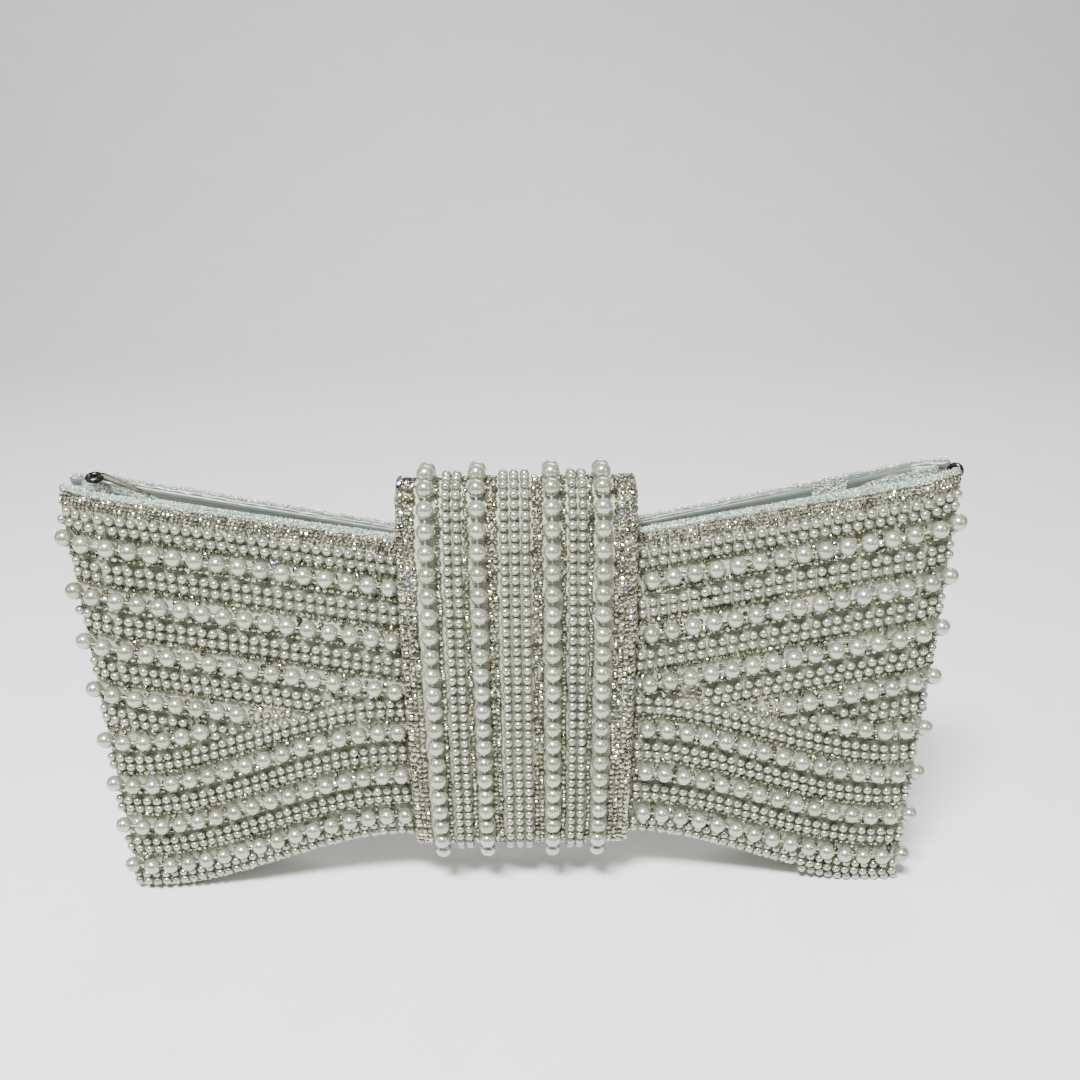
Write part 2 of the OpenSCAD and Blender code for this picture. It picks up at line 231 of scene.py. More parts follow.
def flap_line():
    """Inner face of the flap in the middle plane, as [y, z], from its foot over the arch to the fold."""
    z = np.linspace(FLAP_BOTTOM, SHOULDER_Z, 120)
    room = FLAP_ROOM * smooth((z - FLAP_ROOM_START) / (SHOULDER_Z - FLAP_ROOM_START))
    front = xyz(-depth(np.zeros_like(z), z) - FLAP_CLEAR - room, z)
    lean = front[-1] - front[-8]
    lean /= np.linalg.norm(lean)
    arch = bezier(front[-1], front[-1] + ARCH_LIFT * lean, LEG + [0, ARCH_LIFT], LEG, np.linspace(0, 1, 80)[1:])
    return even(np.concatenate([front, arch]), 0.7)


def band_line():
    """Inner face of the band on the back, from its foot to below the fold."""
    z = np.linspace(FLAP_BOTTOM, BAND_TOP, 140)
    return even(xyz(depth(np.zeros_like(z), z) + FLAP_CLEAR, z), 0.7)


def line_normals(line, turn=1):
    d = unit(np.gradient(line, axis=0))
    return turn * xyz(-d[:, 1], d[:, 0])


def off_line(line, turn, x, n):
    """Grid of points at x along the bag and at n off a line of [y, z]."""
    normal = line_normals(line, turn)
    return xyz(x, line[:, None, 0] + n * normal[:, None, 0], line[:, None, 1] + n * normal[:, None, 1])


# ---------------------------------------------------------------- meshes
def mesh_object(name, points, faces, material, soft=True):
    """A mesh from points in millimetres and a list of face arrays."""
    mesh = bpy.data.meshes.new(name)
    sizes = np.concatenate([np.full(len(f), f.shape[1]) for f in faces])
    loops = np.concatenate([f.ravel() for f in faces]).astype(np.int32)
    starts = np.concatenate([[0], np.cumsum(sizes)[:-1]]).astype(np.int32)
    mesh.vertices.add(len(points))
    mesh.vertices.foreach_set("co", (np.asarray(points) * MM).astype(np.float32).ravel())
    mesh.loops.add(len(loops))
    mesh.loops.foreach_set("vertex_index", loops)
    mesh.polygons.add(len(sizes))
    mesh.polygons.foreach_set("loop_start", starts)
    mesh.polygons.foreach_set("use_smooth", np.full(len(sizes), soft))
    mesh.update(calc_edges=True)
    mesh.materials.append(material)
    obj = bpy.data.objects.new(name, mesh)
    bpy.context.scene.collection.objects.link(obj)
    return obj


def quads(rows, cols, start=0, flip=False, round_cols=False):
    """Faces of a grid of rows by cols points."""
    wide = cols if round_cols else cols - 1
    r, c = np.meshgrid(np.arange(rows - 1), np.arange(wide), indexing="ij")
    a = (r * cols + c).ravel()
    b = (r * cols + (c + 1) % cols).ravel()
    f = xyz(a, b, b + cols, a + cols) + start
    return f[:, ::-1] if flip else f


def shell(name, outer, inner, material, flip=False):
    """A closed thin piece between two grids of the same size, the outer one first."""
    rows, cols = outer.shape[:2]
    n = rows * cols
    points = np.concatenate([outer.reshape(-1, 3), inner.reshape(-1, 3)])
    ring = np.concatenate([
        np.arange(cols), cols * np.arange(1, rows) + cols - 1,
        (rows - 1) * cols + np.arange(cols - 2, -1, -1), cols * np.arange(rows - 2, 0, -1)])
    ahead = np.roll(ring, -1)
    rim = xyz(ring, ring + n, ahead + n, ahead)
    faces = [quads(rows, cols), quads(rows, cols, n, True), rim]
    if flip:
        faces = [f[:, ::-1] for f in faces]
    return mesh_object(name, points, faces, material)


def tube(rings):
    """Faces of a closed tube over rings of points, capped at both ends."""
    rows, cols = rings.shape[:2]
    points = np.concatenate([rings.reshape(-1, 3), rings[0].mean(0)[None], rings[-1].mean(0)[None]])
    c = np.arange(cols)
    ahead = (c + 1) % cols
    low = xyz(np.full(cols, rows * cols), ahead, c)
    high = xyz(np.full(cols, rows * cols + 1), (rows - 1) * cols + c, (rows - 1) * cols + ahead)
    return points, [quads(rows, cols, round_cols=True), low, high]


def merge(parts):
    """One set of points and faces from several."""
    points, faces, n = [], [], 0
    for p, fs in parts:
        points.append(p)
        faces += [f + n for f in fs]
        n += len(p)
    return np.concatenate(points), faces


def mirror_y(points):
    return points * np.array([1.0, -1.0, 1.0])


def ripple(a, b, wave, seed):
    """Smooth noise from -1 to about 1 over the coordinates a and b, with features of about wave."""
    r = np.random.default_rng(seed)
    total = np.zeros(np.broadcast(a, b).shape)
    for _ in range(RIPPLE_WAVES):
        turn = r.uniform(0, 2 * math.pi)
        k = 2 * math.pi / (wave * r.uniform(0.6, 1.7))
        total = total + np.sin(k * (a * math.cos(turn) + b * math.sin(turn)) + r.uniform(0, 6.28))
    return total / math.sqrt(RIPPLE_WAVES) / 1.4


# ---------------------------------------------------------------- materials
class Look:
    """A material that is built up from procedural nodes on the object's own coordinates."""

    def __init__(self, name, **sockets):
        self.mat = bpy.data.materials.new(name)
        self.mat.use_nodes = True
        self.tree = self.mat.node_tree
        self.bsdf = self.tree.nodes["Principled BSDF"]
        self.coord = self.tree.nodes.new("ShaderNodeTexCoord").outputs["Object"]
        for key, value in sockets.items():
            self.bsdf.inputs[key.replace("_", " ")].default_value = value

    def add(self, kind, links=None, values=None, **settings):
        node = self.tree.nodes.new(kind)
        for key, value in settings.items():
            setattr(node, key, value)
        for key, value in (values or {}).items():
            node.inputs[key].default_value = value
        for key, value in (links or {}).items():
            self.tree.links.new(value, node.inputs[key])
        return node

    def feed(self, socket, value):
        """Links another socket, or sets a plain number or colour."""
        if hasattr(value, "is_linked"):
            self.tree.links.new(value, socket)
        else:
            socket.default_value = (*value, 1) if hasattr(value, "__len__") else value

    def noise(self, scale, detail=4.0, rough=0.55, stretch=None):
        where = self.coord
        if stretch:
            where = self.add("ShaderNodeMapping", {"Vector": where}, {"Scale": stretch}).outputs["Vector"]
        return self.add("ShaderNodeTexNoise", {"Vector": where},
                        {"Scale": scale, "Detail": detail, "Roughness": rough}).outputs["Fac"]

    def cells(self, scale, output="Distance"):
        return self.add("ShaderNodeTexVoronoi", {"Vector": self.coord}, {"Scale": scale}).outputs[output]

    def bands(self, axis, period):
        """A sine across one axis with that period in metres."""
        return self.add("ShaderNodeTexWave", {"Vector": self.coord},
                        {"Scale": 2 * math.pi / (20 * period), "Distortion": 0.0, "Detail": 0.0},
                        wave_type="BANDS", bands_direction=axis).outputs["Fac"]

    def island(self):
        return self.add("ShaderNodeNewGeometry").outputs["Random Per Island"]

    def maths(self, operation, a, b):
        node = self.add("ShaderNodeMath", operation=operation)
        self.feed(node.inputs[0], a)
        self.feed(node.inputs[1], b)
        return node.outputs[0]

    def ramp(self, fac, stops, kind="LINEAR"):
        node = self.add("ShaderNodeValToRGB", {"Fac": fac})
        node.color_ramp.interpolation = kind
        items = node.color_ramp.elements
        while len(items) < len(stops):
            items.new(0.5)
        for item, (place, value) in zip(items, stops):
            item.position = place
            colour = value if hasattr(value, "__len__") else (value,) * 3
            item.color = (*colour, 1)
        return node.outputs["Color"]

    def times(self, a, b):
        """The product of two colours, each a socket or three numbers."""
        node = self.add("ShaderNodeMix", data_type="RGBA", blend_type="MULTIPLY")
        node.inputs[0].default_value = 1.0
        self.feed(node.inputs[6], a)
        self.feed(node.inputs[7], b)
        return node.outputs[2]

    def mottle(self, scale, detail, *stops):
        """Noise shaded between the stops."""
        return self.ramp(self.noise(scale, detail), stops)

    def bump(self, height, distance, strength=1.0, normal=None):
        links = {"Height": height}
        if normal is not None:
            links["Normal"] = normal
        return self.add("ShaderNodeBump", links, {"Distance": distance, "Strength": strength}).outputs["Normal"]

    def done(self, **links):
        for key, value in links.items():
            self.tree.links.new(value, self.bsdf.inputs[key.replace("_", " ")])
        return self.mat


def pearl_look(name, light, dark):
    """Coated glass pearl: a silvery nacre under a clear coat, with slight differences from bead to bead."""
    look = Look(name, Metallic=0.72, Coat_Weight=1.0, Coat_Roughness=0.07, Coat_IOR=1.85)
    base = look.ramp(look.island(), [(0.0, dark), (0.45, light), (0.85, [c * 1.04 for c in light]),
                                     (1.0, [light[0], light[1], light[2] * 1.1])])
    cloud = look.mottle(420, 3, (0.35, 0.88), (0.65, 1.0))
    rough = look.mottle(900, 4, (0.3, 0.20), (0.7, 0.30))
    skin = look.bump(look.noise(2600, 2), 0.00002, 0.35)
    return look.done(Base_Color=look.times(base, cloud), Roughness=rough, Normal=skin)


def stone_look(name):
    """Foiled glass stones: mostly silver, some gold and smoke, a few with an aurora coat."""
    look = Look(name, Metallic=0.96, Coat_Weight=0.8, Coat_Roughness=0.02)
    stops = [(0.0, (0.50, 0.495, 0.385)), (0.24, (0.34, 0.33, 0.235)), (0.42, (0.72, 0.70, 0.56)),
             (0.52, (0.42, 0.39, 0.265)), (0.69, (0.23, 0.225, 0.165)), (0.85, (0.50, 0.475, 0.35)),
             (0.974, (0.52, 0.70, 0.64)), (0.986, (0.76, 0.67, 0.46)), (0.995, (0.58, 0.62, 0.86))]
    tint = look.ramp(look.island(), stops, "CONSTANT")
    mottled = look.mottle(1500, 2, (0.35, 0.7), (0.65, 1.0))
    rough = look.mottle(3000, 2, (0.3, 0.05), (0.7, 0.16))
    return look.done(Base_Color=look.times(tint, mottled), Roughness=rough)


def weave_look(name, colour, period, sheen=0.3, rough=0.62):
    """Woven cloth: crossing threads, uneven dye and a little fuzz, with painted shade in the pits between the threads.
    """
    look = Look(name, Sheen_Weight=sheen, Sheen_Roughness=0.4)
    across = look.bands("X", period)
    up = look.bands("Z", period)
    through = look.bands("Y", period)
    threads = look.maths("MULTIPLY", look.maths("ADD", across, through), up)
    slub = look.noise(900, 5, 0.6)
    dye = look.mottle(60, 5, (0.3, 0.86), (0.7, 1.06))
    # the colour is darker where the threads sink: painted shade in the weave's pits
    painted_pit_shade = look.ramp(threads, [(0.0, 0.72), (0.8, 1.04)])
    tone = look.times(look.times(colour, dye), painted_pit_shade)
    height = look.maths("ADD", threads, look.maths("MULTIPLY", slub, 0.8))
    shine = look.ramp(slub, [(0.3, rough * 0.85), (0.7, min(1.0, rough * 1.15))])
    return look.done(Base_Color=tone, Roughness=shine, Normal=look.bump(height, 0.00012, 0.7))


def satin_look(name, colour):
    """Satin lining: long floats that catch the light and soft pulls; both are painted into the colour as painted sheen
    and painted shade.
    """
    look = Look(name, Sheen_Weight=0.2, Sheen_Roughness=0.25, Anisotropic=0.5, Specular_IOR_Level=0.5)
    floats = look.noise(1400, 3, 0.5, (0.12, 1.0, 1.0))
    pulls = look.noise(35, 4, 0.5, (1.0, 1.0, 0.35))
    # floats lighten the colour as painted sheen; the pulls lighten and darken it as painted light and shade
    tone = look.times(look.times(colour, look.ramp(floats, [(0.3, 0.85), (0.7, 1.1)])),
                      look.ramp(pulls, [(0.3, 0.8), (0.7, 1.12)]))
    rough = look.ramp(floats, [(0.3, 0.26), (0.7, 0.42)])
    weave = look.bump(floats, 0.00005, 0.5)
    return look.done(Base_Color=tone, Roughness=rough, Normal=look.bump(pulls, 0.0008, 0.4, weave))


def glitter_look(name, colour, fleck, metallic):
    """Lurex binding: fine metal threads whose flecks each face their own way; each fleck is painted darker or lighter,
    up to a white painted glint.
    """
    look = Look(name, Metallic=metallic, Coat_Weight=0.3, Coat_Roughness=0.1)
    fine = look.cells(2400, "Color")
    edge = look.cells(2400, "Distance")
    coarse = look.cells(1100, "Distance")
    ply = look.noise(2200, 3, 0.55, (0.1, 1.0, 1.0))
    # per fleck the colour runs from painted shade at 0.45 of the colour to a painted white glint
    glint_and_shade = look.ramp(fine, [(0.0, [c * 0.45 for c in colour]), (0.45, colour), (0.8, fleck), (1.0, (1, 1, 1))])
    patches = look.mottle(160, 4, (0.3, 0.82), (0.7, 1.05))
    rough = look.ramp(fine, [(0.0, 0.45), (1.0, 0.16)])
    height = look.maths("ADD", look.maths("ADD", edge, look.maths("MULTIPLY", coarse, 1.5)),
                        look.maths("MULTIPLY", ply, 2.0))
    return look.done(Base_Color=look.times(glint_and_shade, patches), Roughness=rough,
                     Normal=look.bump(height, 0.00045, 0.9))


def metal_look(name, colour, rough, scratch=0.12):
    look = Look(name, Metallic=1.0)
    worn = look.noise(700, 6, 0.6)
    lines = look.noise(2500, 2, 0.5, (0.06, 1.0, 1.0))
    tone = look.times(colour, look.ramp(worn, [(0.35, 0.8), (0.7, 1.15)]))
    shine = look.ramp(look.maths("ADD", worn, look.maths("MULTIPLY", lines, 0.5)),
                      [(0.4, rough), (1.0, rough + scratch)])
    return look.done(Base_Color=tone, Roughness=shine, Normal=look.bump(lines, 0.00003, 0.4))


def board_look(name):
    look = Look(name, Specular_IOR_Level=0.25)
    fibre = look.noise(700, 8, 0.65, (0.25, 1.0, 1.0))
    tone = look.ramp(fibre, [(0.25, (0.36, 0.29, 0.20)), (0.6, (0.55, 0.46, 0.34)), (0.85, (0.66, 0.58, 0.45))])
    return look.done(Base_Color=tone, Roughness=look.ramp(fibre, [(0.3, 0.8), (0.7, 0.95)]),
                     Normal=look.bump(fibre, 0.0002, 0.5))


GROUND = (0.42, 0.445, 0.345)
pearl = pearl_look("pearl", (0.40, 0.42, 0.325), (0.32, 0.338, 0.255))
small_pearl = pearl_look("small_pearl", (0.345, 0.365, 0.275), (0.265, 0.282, 0.208))
stones = stone_look("stones")
aurora = metal_look("aurora_stone", (0.50, 0.52, 0.95), 0.06, 0.05)
cloth = weave_look("beading_cloth", GROUND, 0.0008)
thread = weave_look("thread", (0.50, 0.51, 0.45), 0.0004, 0.2, 0.45)
satin = satin_look("satin", (0.095, 0.118, 0.098))
floor_satin = satin_look("floor_satin", (0.10, 0.12, 0.102))
glitter = glitter_look("glitter", (0.265, 0.34, 0.265), (0.80, 0.92, 0.79), 0.65)
sparkle = glitter_look("sparkle", (0.80, 0.86, 0.80), (0.97, 1.0, 0.97), 0.6)
nickel = metal_look("dark_nickel", (0.055, 0.052, 0.05), 0.2)
# gilt for the flat faces of the pocket stay: a painted highlight on its dark metal
highlight_gilt = metal_look("highlight_gilt", (0.86, 0.78, 0.60), 0.25)
steel = metal_look("steel", (0.55, 0.55, 0.57), 0.28)
board = board_look("board")


# ---------------------------------------------------------------- cloth pieces
def ride(obj, body, slot=None, *stood_for):
    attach(obj, body)
    if stood_for:
        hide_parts(*stood_for)
    return obj


def spread_x(count):
    """Stations across the bag, closer together at the rolled ends."""
    t = np.linspace(-1, 1, count)
    return HALF_W * np.sin(t * math.pi / 2 * 0.9) / math.sin(math.pi / 2 * 0.9)


def face_of(back):
    """Name and body of the front or the back."""
    return ("back", "root") if back else ("front", "front_panel")


def panel_grid(xs, fractions, low, high):
    x = np.broadcast_to(xs, (len(fractions), len(xs)))
    z = low(xs) + (high(xs) - low(xs)) * fractions[:, None]
    return x, z


def panel_cloth(back):
    """Beading ground of one panel, puckered a little by its stitches and tucked under the lip."""
    fractions = np.concatenate([np.linspace(0, 0.03, 9)[:-1], np.linspace(0.03, 1, 116)])
    x, z = panel_grid(spread_x(300), fractions, lambda s: bottom_z(s) + 0.3, lambda s: lip_z(s) - 1.6)
    tuck = 0.35 * smooth((z - lip_z(x) + 4.5) / 2.5)
    edge = smooth((z - bottom_z(x)) / 6) * smooth((HALF_W - np.abs(x)) / 8)
    pucker = 0.16 * ripple(x, z, 5.0, 11 + back) * edge
    outer = panel_point(x, z, -0.05) + panel_normal(x, z) * (pucker - tuck)[..., None]
    inner = panel_point(x, z, -SKIN_T)
    inner[..., 2] = np.maximum(inner[..., 2], z)
    if back:
        outer, inner = mirror_y(outer), mirror_y(inner)
    place, body = face_of(back)
    obj = shell(f"{place}_cloth", outer, inner, cloth, flip=back)
    return ride(obj, body, "beading_ground", f"{place}_skin")


front_cloth, back_cloth = panel_cloth(False), panel_cloth(True)


def lining_cloth(back):
    """Satin inside one panel, slack enough to ripple, from the floor to under the lip."""
    xs = np.linspace(-LINING_HALF, LINING_HALF, 230)
    x, z = panel_grid(xs, np.linspace(0, 1, 90), lambda s: bottom_z(s) + 2.4, lambda s: lip_z(s) - 0.9)
    rise = clamp((z - bottom_z(x)) / (lip_z(x) - bottom_z(x)))
    slack = 0.55 * (1 + ripple(x, z * 0.35, 24, 21 + back)) * 4 * rise * (1 - rise) \
        * smooth((LINING_HALF - np.abs(x)) / 12)
    y = depth(x, z) - LINING_OFF - slack
    inside = np.maximum(y, 0.8)
    flat = xyz(x, -inside, z)
    near = xyz(x, -(inside - 0.5), z)
    if back:
        flat, near = mirror_y(flat), mirror_y(near)
    place, body = face_of(back)
    obj = shell(f"{place}_satin", flat, near, satin, flip=back)
    return ride(obj, body, "lining", f"{place}_lining")


front_satin, back_satin = lining_cloth(False), lining_cloth(True)


def base_cloth():
    """Outer fabric of the base."""
    xs = spread_x(260)
    xs = xs * (HALF_W - 0.8) / HALF_W
    low = bottom_z(xs)
    half = depth(xs, low + 0.3) - 0.15
    s = np.linspace(-1, 1, 40)[:, None]
    x = np.broadcast_to(xs, (40, len(xs)))
    y = s * half
    sag = 0.25 * (1 - np.abs(s) ** 6)
    z = np.broadcast_to(low, x.shape) + 0.45 - sag + 0.08 * ripple(x, y, 6, 31)
    z = np.maximum(z, 0.02)
    under = xyz(x, y, z)
    top = xyz(x, y, z + 1.5)
    return shell("base_cloth", top, under, cloth)


base = base_cloth()
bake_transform(base)
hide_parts("base_panel")


def floor_cloth():
    """Satin over the stiffened base inside the bag."""
    xs = np.linspace(-LINING_HALF + 2, LINING_HALF - 2, 180)
    low = bottom_z(xs)
    half = depth(xs, low + 3.0) - 2.8
    s = np.linspace(-1, 1, 24)[:, None]
    x = np.broadcast_to(xs, (24, len(xs)))
    y = s * half
    z = low + 2.5 + 0.7 * np.abs(s) ** 4 + 0.2 * ripple(x, y, 14, 33)
    return shell("floor_satin", xyz(x, y, z + 0.4), xyz(x, y, z), floor_satin)


inner_floor = floor_cloth()
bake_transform(inner_floor)


def gusset_cloth(place, side):
    """Side of the bag: a pleat of glitter cloth that folds in between the panels."""
    levels = np.linspace(0, 1, 150)[:, None]
    s = np.linspace(-1, 1, 80)[None, :]
    foot, head = 1.2, END_H - 2.2
    z = foot + (head - foot) * levels + 0 * s
    reach = 2.0 + 27.0 * smooth((z - 40) / 110)
    fold = 1 - np.abs(s) ** 1.2
    x = GUSSET_X + 0.6 - reach * fold - 0.9 * np.abs(s) ** 8
    inside = SKIN_T + 0.2 + 3.2 * smooth((GUSSET_X - 0.5 - x) / 3)
    half = np.maximum(depth(np.minimum(x, GUSSET_X), np.minimum(z, lip_z(x) - 2)) - inside, 0.6)
    wrinkle = ripple(x * 0.6, z, 9, 40 + side) * 0.5 * fold * smooth(z / 30)
    y = np.sign(s) * half * (1 - (1 - np.abs(s)) ** 4) + wrinkle * (1 - np.abs(s))
    x = x + 0.5 * ripple(y * 2, z, 12, 44 + side) * fold
    top = np.minimum(lip_z(x) - 1.0, head)
    z = foot + (top - foot) * levels - 1.5 * fold * smooth((z - 120) / 30)
    z = z + 0.4 * ripple(x, y, 7, 47) * levels
    obj = shell(f"gusset_cloth_{place}", xyz(side * x, y, z), xyz(side * (x - 0.5), y, z), glitter, flip=side < 0)
    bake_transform(obj)
    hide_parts(f"gusset_{place}")
    return obj


gussets = [gusset_cloth("left", -1), gusset_cloth("right", 1)]


# ---------------------------------------------------------------- lips
def lip_rings(xs, back):
    """Rounded binding over the wire: a lower front face, a domed top and an inner face."""
    arc = np.linspace(0, math.pi, 13)
    wide = LIP_T / 2 + 0.2
    section = np.concatenate([
        [[-wide + 0.3, -1.75], [-wide, -1.5]],
        xyz(-wide * np.cos(arc), -1.25 + 1.35 * np.sin(arc)),
        [[wide, -1.7], [wide - 0.1, -2.2], [wide - 0.8, -2.4], [-wide + 0.8, -2.1]]])
    centre = -(mouth(xs) + LIP_T / 2)
    y = centre[:, None] + section[None, :, 0]
    z = lip_z(xs)[:, None] + section[None, :, 1]
    x = np.broadcast_to(xs[:, None], y.shape)
    run = np.arange(len(section))[None, :] * 0.9
    rough = 0.13 * ripple(x, run, 1.3, 51 + back) + 0.12 * ripple(x, run, 5.0, 53 + back)
    d = unit(section - section.mean(0))
    y = y + rough * d[None, :, 0]
    z = z + rough * d[None, :, 1]
    ends = np.abs(xs)[:, None] - (HALF_W - 1.6)
    close = 1 - 0.5 * smooth(ends / 1.6)
    y = centre[:, None] + (y - centre[:, None]) * close
    z = lip_z(xs)[:, None] - 1.4 + (z - lip_z(xs)[:, None] + 1.4) * close
    rings = xyz(x, y, z)
    return mirror_y(rings)[:, ::-1] if back else rings


def second_look(obj, material, columns, rows):
    """Gives some of the columns round a tube another material."""
    obj.data.materials.append(material)
    index = np.zeros(len(obj.data.polygons), np.int32)
    index[:len(columns) * rows] = np.tile(columns, rows)
    obj.data.polygons.foreach_set("material_index", index)


def lip_piece(back):
    """Binding of one lip. On the back the lining turns over its inner side, so only a thin edge glitters."""
    place, body = face_of(back)
    rings = lip_rings(np.linspace(-HALF_W + 0.4, HALF_W - 0.4, 560), back)[:, ::-1]
    obj = mesh_object(f"{place}_lip_binding", *tube(rings), glitter)
    if back:
        around = np.arange(rings.shape[1])
        second_look(obj, satin, (around > 9) & (around < 18), len(rings) - 1)
    ride(obj, body, "glitter_binding", f"{place}_lip")


def lip_flecks(back, count):
    """Loose ends of the metal thread, standing off the binding."""
    r = np.random.default_rng(60 + back)
    x = r.uniform(-HALF_W + 1, HALF_W - 1, count)
    turn = r.uniform(0.1, 2.15 if back else math.pi - 0.1, count)
    wide = LIP_T / 2 + 0.25
    seat = xyz(x, -(mouth(x) + LIP_T / 2) - wide * np.cos(turn), lip_z(x) - 1.35 + 1.5 * np.sin(turn))
    out = unit(xyz(r.normal(0, 0.5, count), -np.cos(turn) + r.normal(0, 0.3, count),
                   np.sin(turn) + r.normal(0, 0.3, count)))
    side = unit(np.cross(out, r.normal(0, 1, (count, 3))))
    long = r.uniform(0.35, 1.25 if back else 0.7, count)[:, None]
    thin = r.uniform(0.12, 0.28, count)[:, None]
    bend = np.cross(out, side) * thin
    a, b, c, d = seat - side * thin, seat + side * thin, seat + out * long + bend, seat + bend * 1.2
    points = np.stack([a, b, c, d], 1).reshape(-1, 3)
    k = 4 * np.arange(count)[:, None]
    faces = np.concatenate([k + f for f in ([0, 2, 1], [0, 1, 3], [1, 2, 3], [0, 3, 2])])
    if back:
        points = mirror_y(points)
        faces = faces[:, ::-1]
    place, body = face_of(back)
    ride(mesh_object(f"{place}_lip_flecks", points, [faces], sparkle, soft=False), body, "glitter_binding")


lip_piece(False)
lip_piece(True)
lip_flecks(False, 3800)
lip_flecks(True, 7000)


# ---------------------------------------------------------------- pocket and tabs
def pocket_offset(x, z):
    v = clamp((z - bottom_z(x)) / (lip_z(x) - bottom_z(x)))
    return LINING_OFF + 1.2 + 0.5 * mouth(x) * smooth((v - 0.5) / 0.5)


def pocket():
    """Slack slip pocket on the back lining, with a glitter-bound top edge."""
    xs = np.linspace(-POCKET_HALF, POCKET_HALF, 200)
    x, z = panel_grid(xs, np.linspace(0, 1, 60), lambda s: POCKET_FOOT + 0 * s, lambda s: lip_z(s) - POCKET_DROP)
    share = (z - POCKET_FOOT) / (lip_z(x) - (POCKET_FOOT + POCKET_DROP))
    y = depth(x, z) - pocket_offset(x, z) - 0.3 * (1 + ripple(x, z * 0.4, 30, 71)) * share
    y = np.maximum(y, 0.9)
    obj = shell("slip_pocket_cloth", xyz(x, y, z), xyz(x, y - THIN, z), satin)
    return ride(obj, "root", "lining", "slip_pocket")


def pocket_trim():
    """Glitter binding along the pocket's edge."""
    xs = np.linspace(-POCKET_HALF, POCKET_HALF, 420)
    top = lip_z(xs) - 3.0
    y = depth(xs, top) - pocket_offset(xs, top) - 0.6 + 0.12 * ripple(xs, 0 * xs, 9, 72)
    turn = circle(10)
    rough = 0.1 * ripple(xs[:, None], turn[None] * 2, 1.6, 73)
    ring_y = y[:, None] + 0.3 + (0.75 + rough) * np.cos(turn)
    ring_z = top[:, None] - 0.35 + (0.9 + rough) * np.sin(turn)
    rings = xyz(np.broadcast_to(xs[:, None], ring_y.shape), ring_y, ring_z)
    ride(mesh_object("pocket_trim", *tube(rings), glitter), "root", "glitter_binding", "pocket_binding")


def tab():
    """Lurex tab that stands against the back lip."""
    low, high = in_mm(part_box("inner_tab"))
    left = low[0] - 0.2
    x, z = np.meshgrid(np.linspace(left, high[0] + 0.2, 34), np.linspace(low[2], high[2] + 0.6, 26))
    lean = (z - z.min()) / (z.max() - z.min())
    y = low[1] + 0.1 + 1.6 * lean + 0.25 * ripple(x, z, 5, 75)
    z = z + 0.25 * ripple(x, 0 * z, 4, 76) + 0.12 * (x - left)
    obj = shell("lurex_tab", xyz(x, y, z), xyz(x, y + THIN, z), glitter)
    ride(obj, "root", "glitter_binding", "inner_tab")


slip = pocket()
pocket_trim()
tab()


# ---------------------------------------------------------------- knot flap and band
def band_rings(line, turn):
    """Rings round a band with softly rounded edges, closed like a cushion at both ends."""
    half, low, high = KNOT_HALF, 0.3, FLAP_T
    run = run_of(line)
    r = 1.3
    corner = np.linspace(0, math.pi / 2, 5)
    face = np.linspace(-half + r, half - r, 60)
    profile = np.concatenate([
        xyz(face, np.full(60, high)),
        xyz(half - r + r * np.sin(corner[1:]), high - r + r * np.cos(corner[1:])),
        [[half, (low + high) / 2 - 0.2]],
        xyz(half - 0.6 + 0.6 * np.cos(corner), low + 0.6 - 0.6 * np.sin(corner)),
        xyz(face[::-3], np.full(20, low)),
        xyz(-half + 0.6 - 0.6 * np.sin(corner), low + 0.6 - 0.6 * np.cos(corner)),
        [[-half, (low + high) / 2 - 0.2]],
        xyz(-half + r - r * np.cos(corner[:-1]), high - r + r * np.sin(corner[:-1]))])
    middle = (low + high) / 2

    def shut(distance, size):
        t = clamp(distance / size)
        return np.sqrt(np.maximum(1 - (1 - t) ** 2, 0.04))

    thick = shut(run, 2.2) * shut(run[-1] - run, 1.8)
    x = np.broadcast_to(profile[:, 0] + KNOT_X, (len(line), len(profile)))
    n = middle + (profile[None, :, 1] - middle) * thick[:, None]
    n = n + 0.10 * ripple(x, run[:, None] * np.ones_like(x), 5, 81) * (n > middle)
    return off_line(line, turn, x, n)


flap = flap_line()
band = band_line()


def band_cloth(name, line, turn, body, node):
    rings = band_rings(line, turn)
    obj = mesh_object(name, *tube(rings if turn > 0 else rings[:, ::-1]), cloth)
    ride(obj, body, "beading_ground", node)


band_cloth("knot_cloth", flap, 1, "knot_flap", "knot_skin")
band_cloth("back_band_cloth", band, -1, "root", "back_band_skin")


def knot_satin():
    """Satin facing inside the flap, turned under at its edges."""
    line = flap[3:-3]
    half = KNOT_HALF - 1.6
    x = np.broadcast_to(KNOT_X + np.linspace(-half, half, 80), (len(line), 80))
    soft = 0.12 * ripple(x, np.arange(len(line))[:, None] * 0.7, 9, 85)
    edge = smooth((half - np.abs(x - KNOT_X)) / 1.2)
    off = 0.28 - 0.3 * edge + soft * edge
    obj = shell("knot_satin", off_line(line, 1, x, off), off_line(line, 1, x, off + 0.35), satin)
    return ride(obj, "knot_flap", "lining", "knot_lining")


facing = knot_satin()


def seam_stitches():
    """Stitches round the satin facing of the flap."""
    line = even(flap[6:-6], 2.6)
    normal = line_normals(line)
    parts = []
    turn = circle(6)
    for x in (KNOT_X - KNOT_HALF + 2.6, KNOT_X + KNOT_HALF - 2.6):
        for k in range(len(line) - 1):
            a, b = line[k], line[k + 1]
            n = normal[k]
            t = np.linspace(0.12, 0.88, 7)[:, None]
            mid = a + (b - a) * t + n * (-0.02 - 0.14 * np.sin(math.pi * (t - 0.12) / 0.76))
            d = (b - a) / np.linalg.norm(b - a)
            ring = [xyz(x + STITCH_R * np.cos(turn), p[0] - STITCH_R * np.sin(turn) * d[1],
                        p[1] + STITCH_R * np.sin(turn) * d[0]) for p in mid]
            parts.append(tube(np.array(ring)))
    ride(mesh_object("knot_stitches", *merge(parts), thread), "knot_flap", "lining")


seam_stitches()


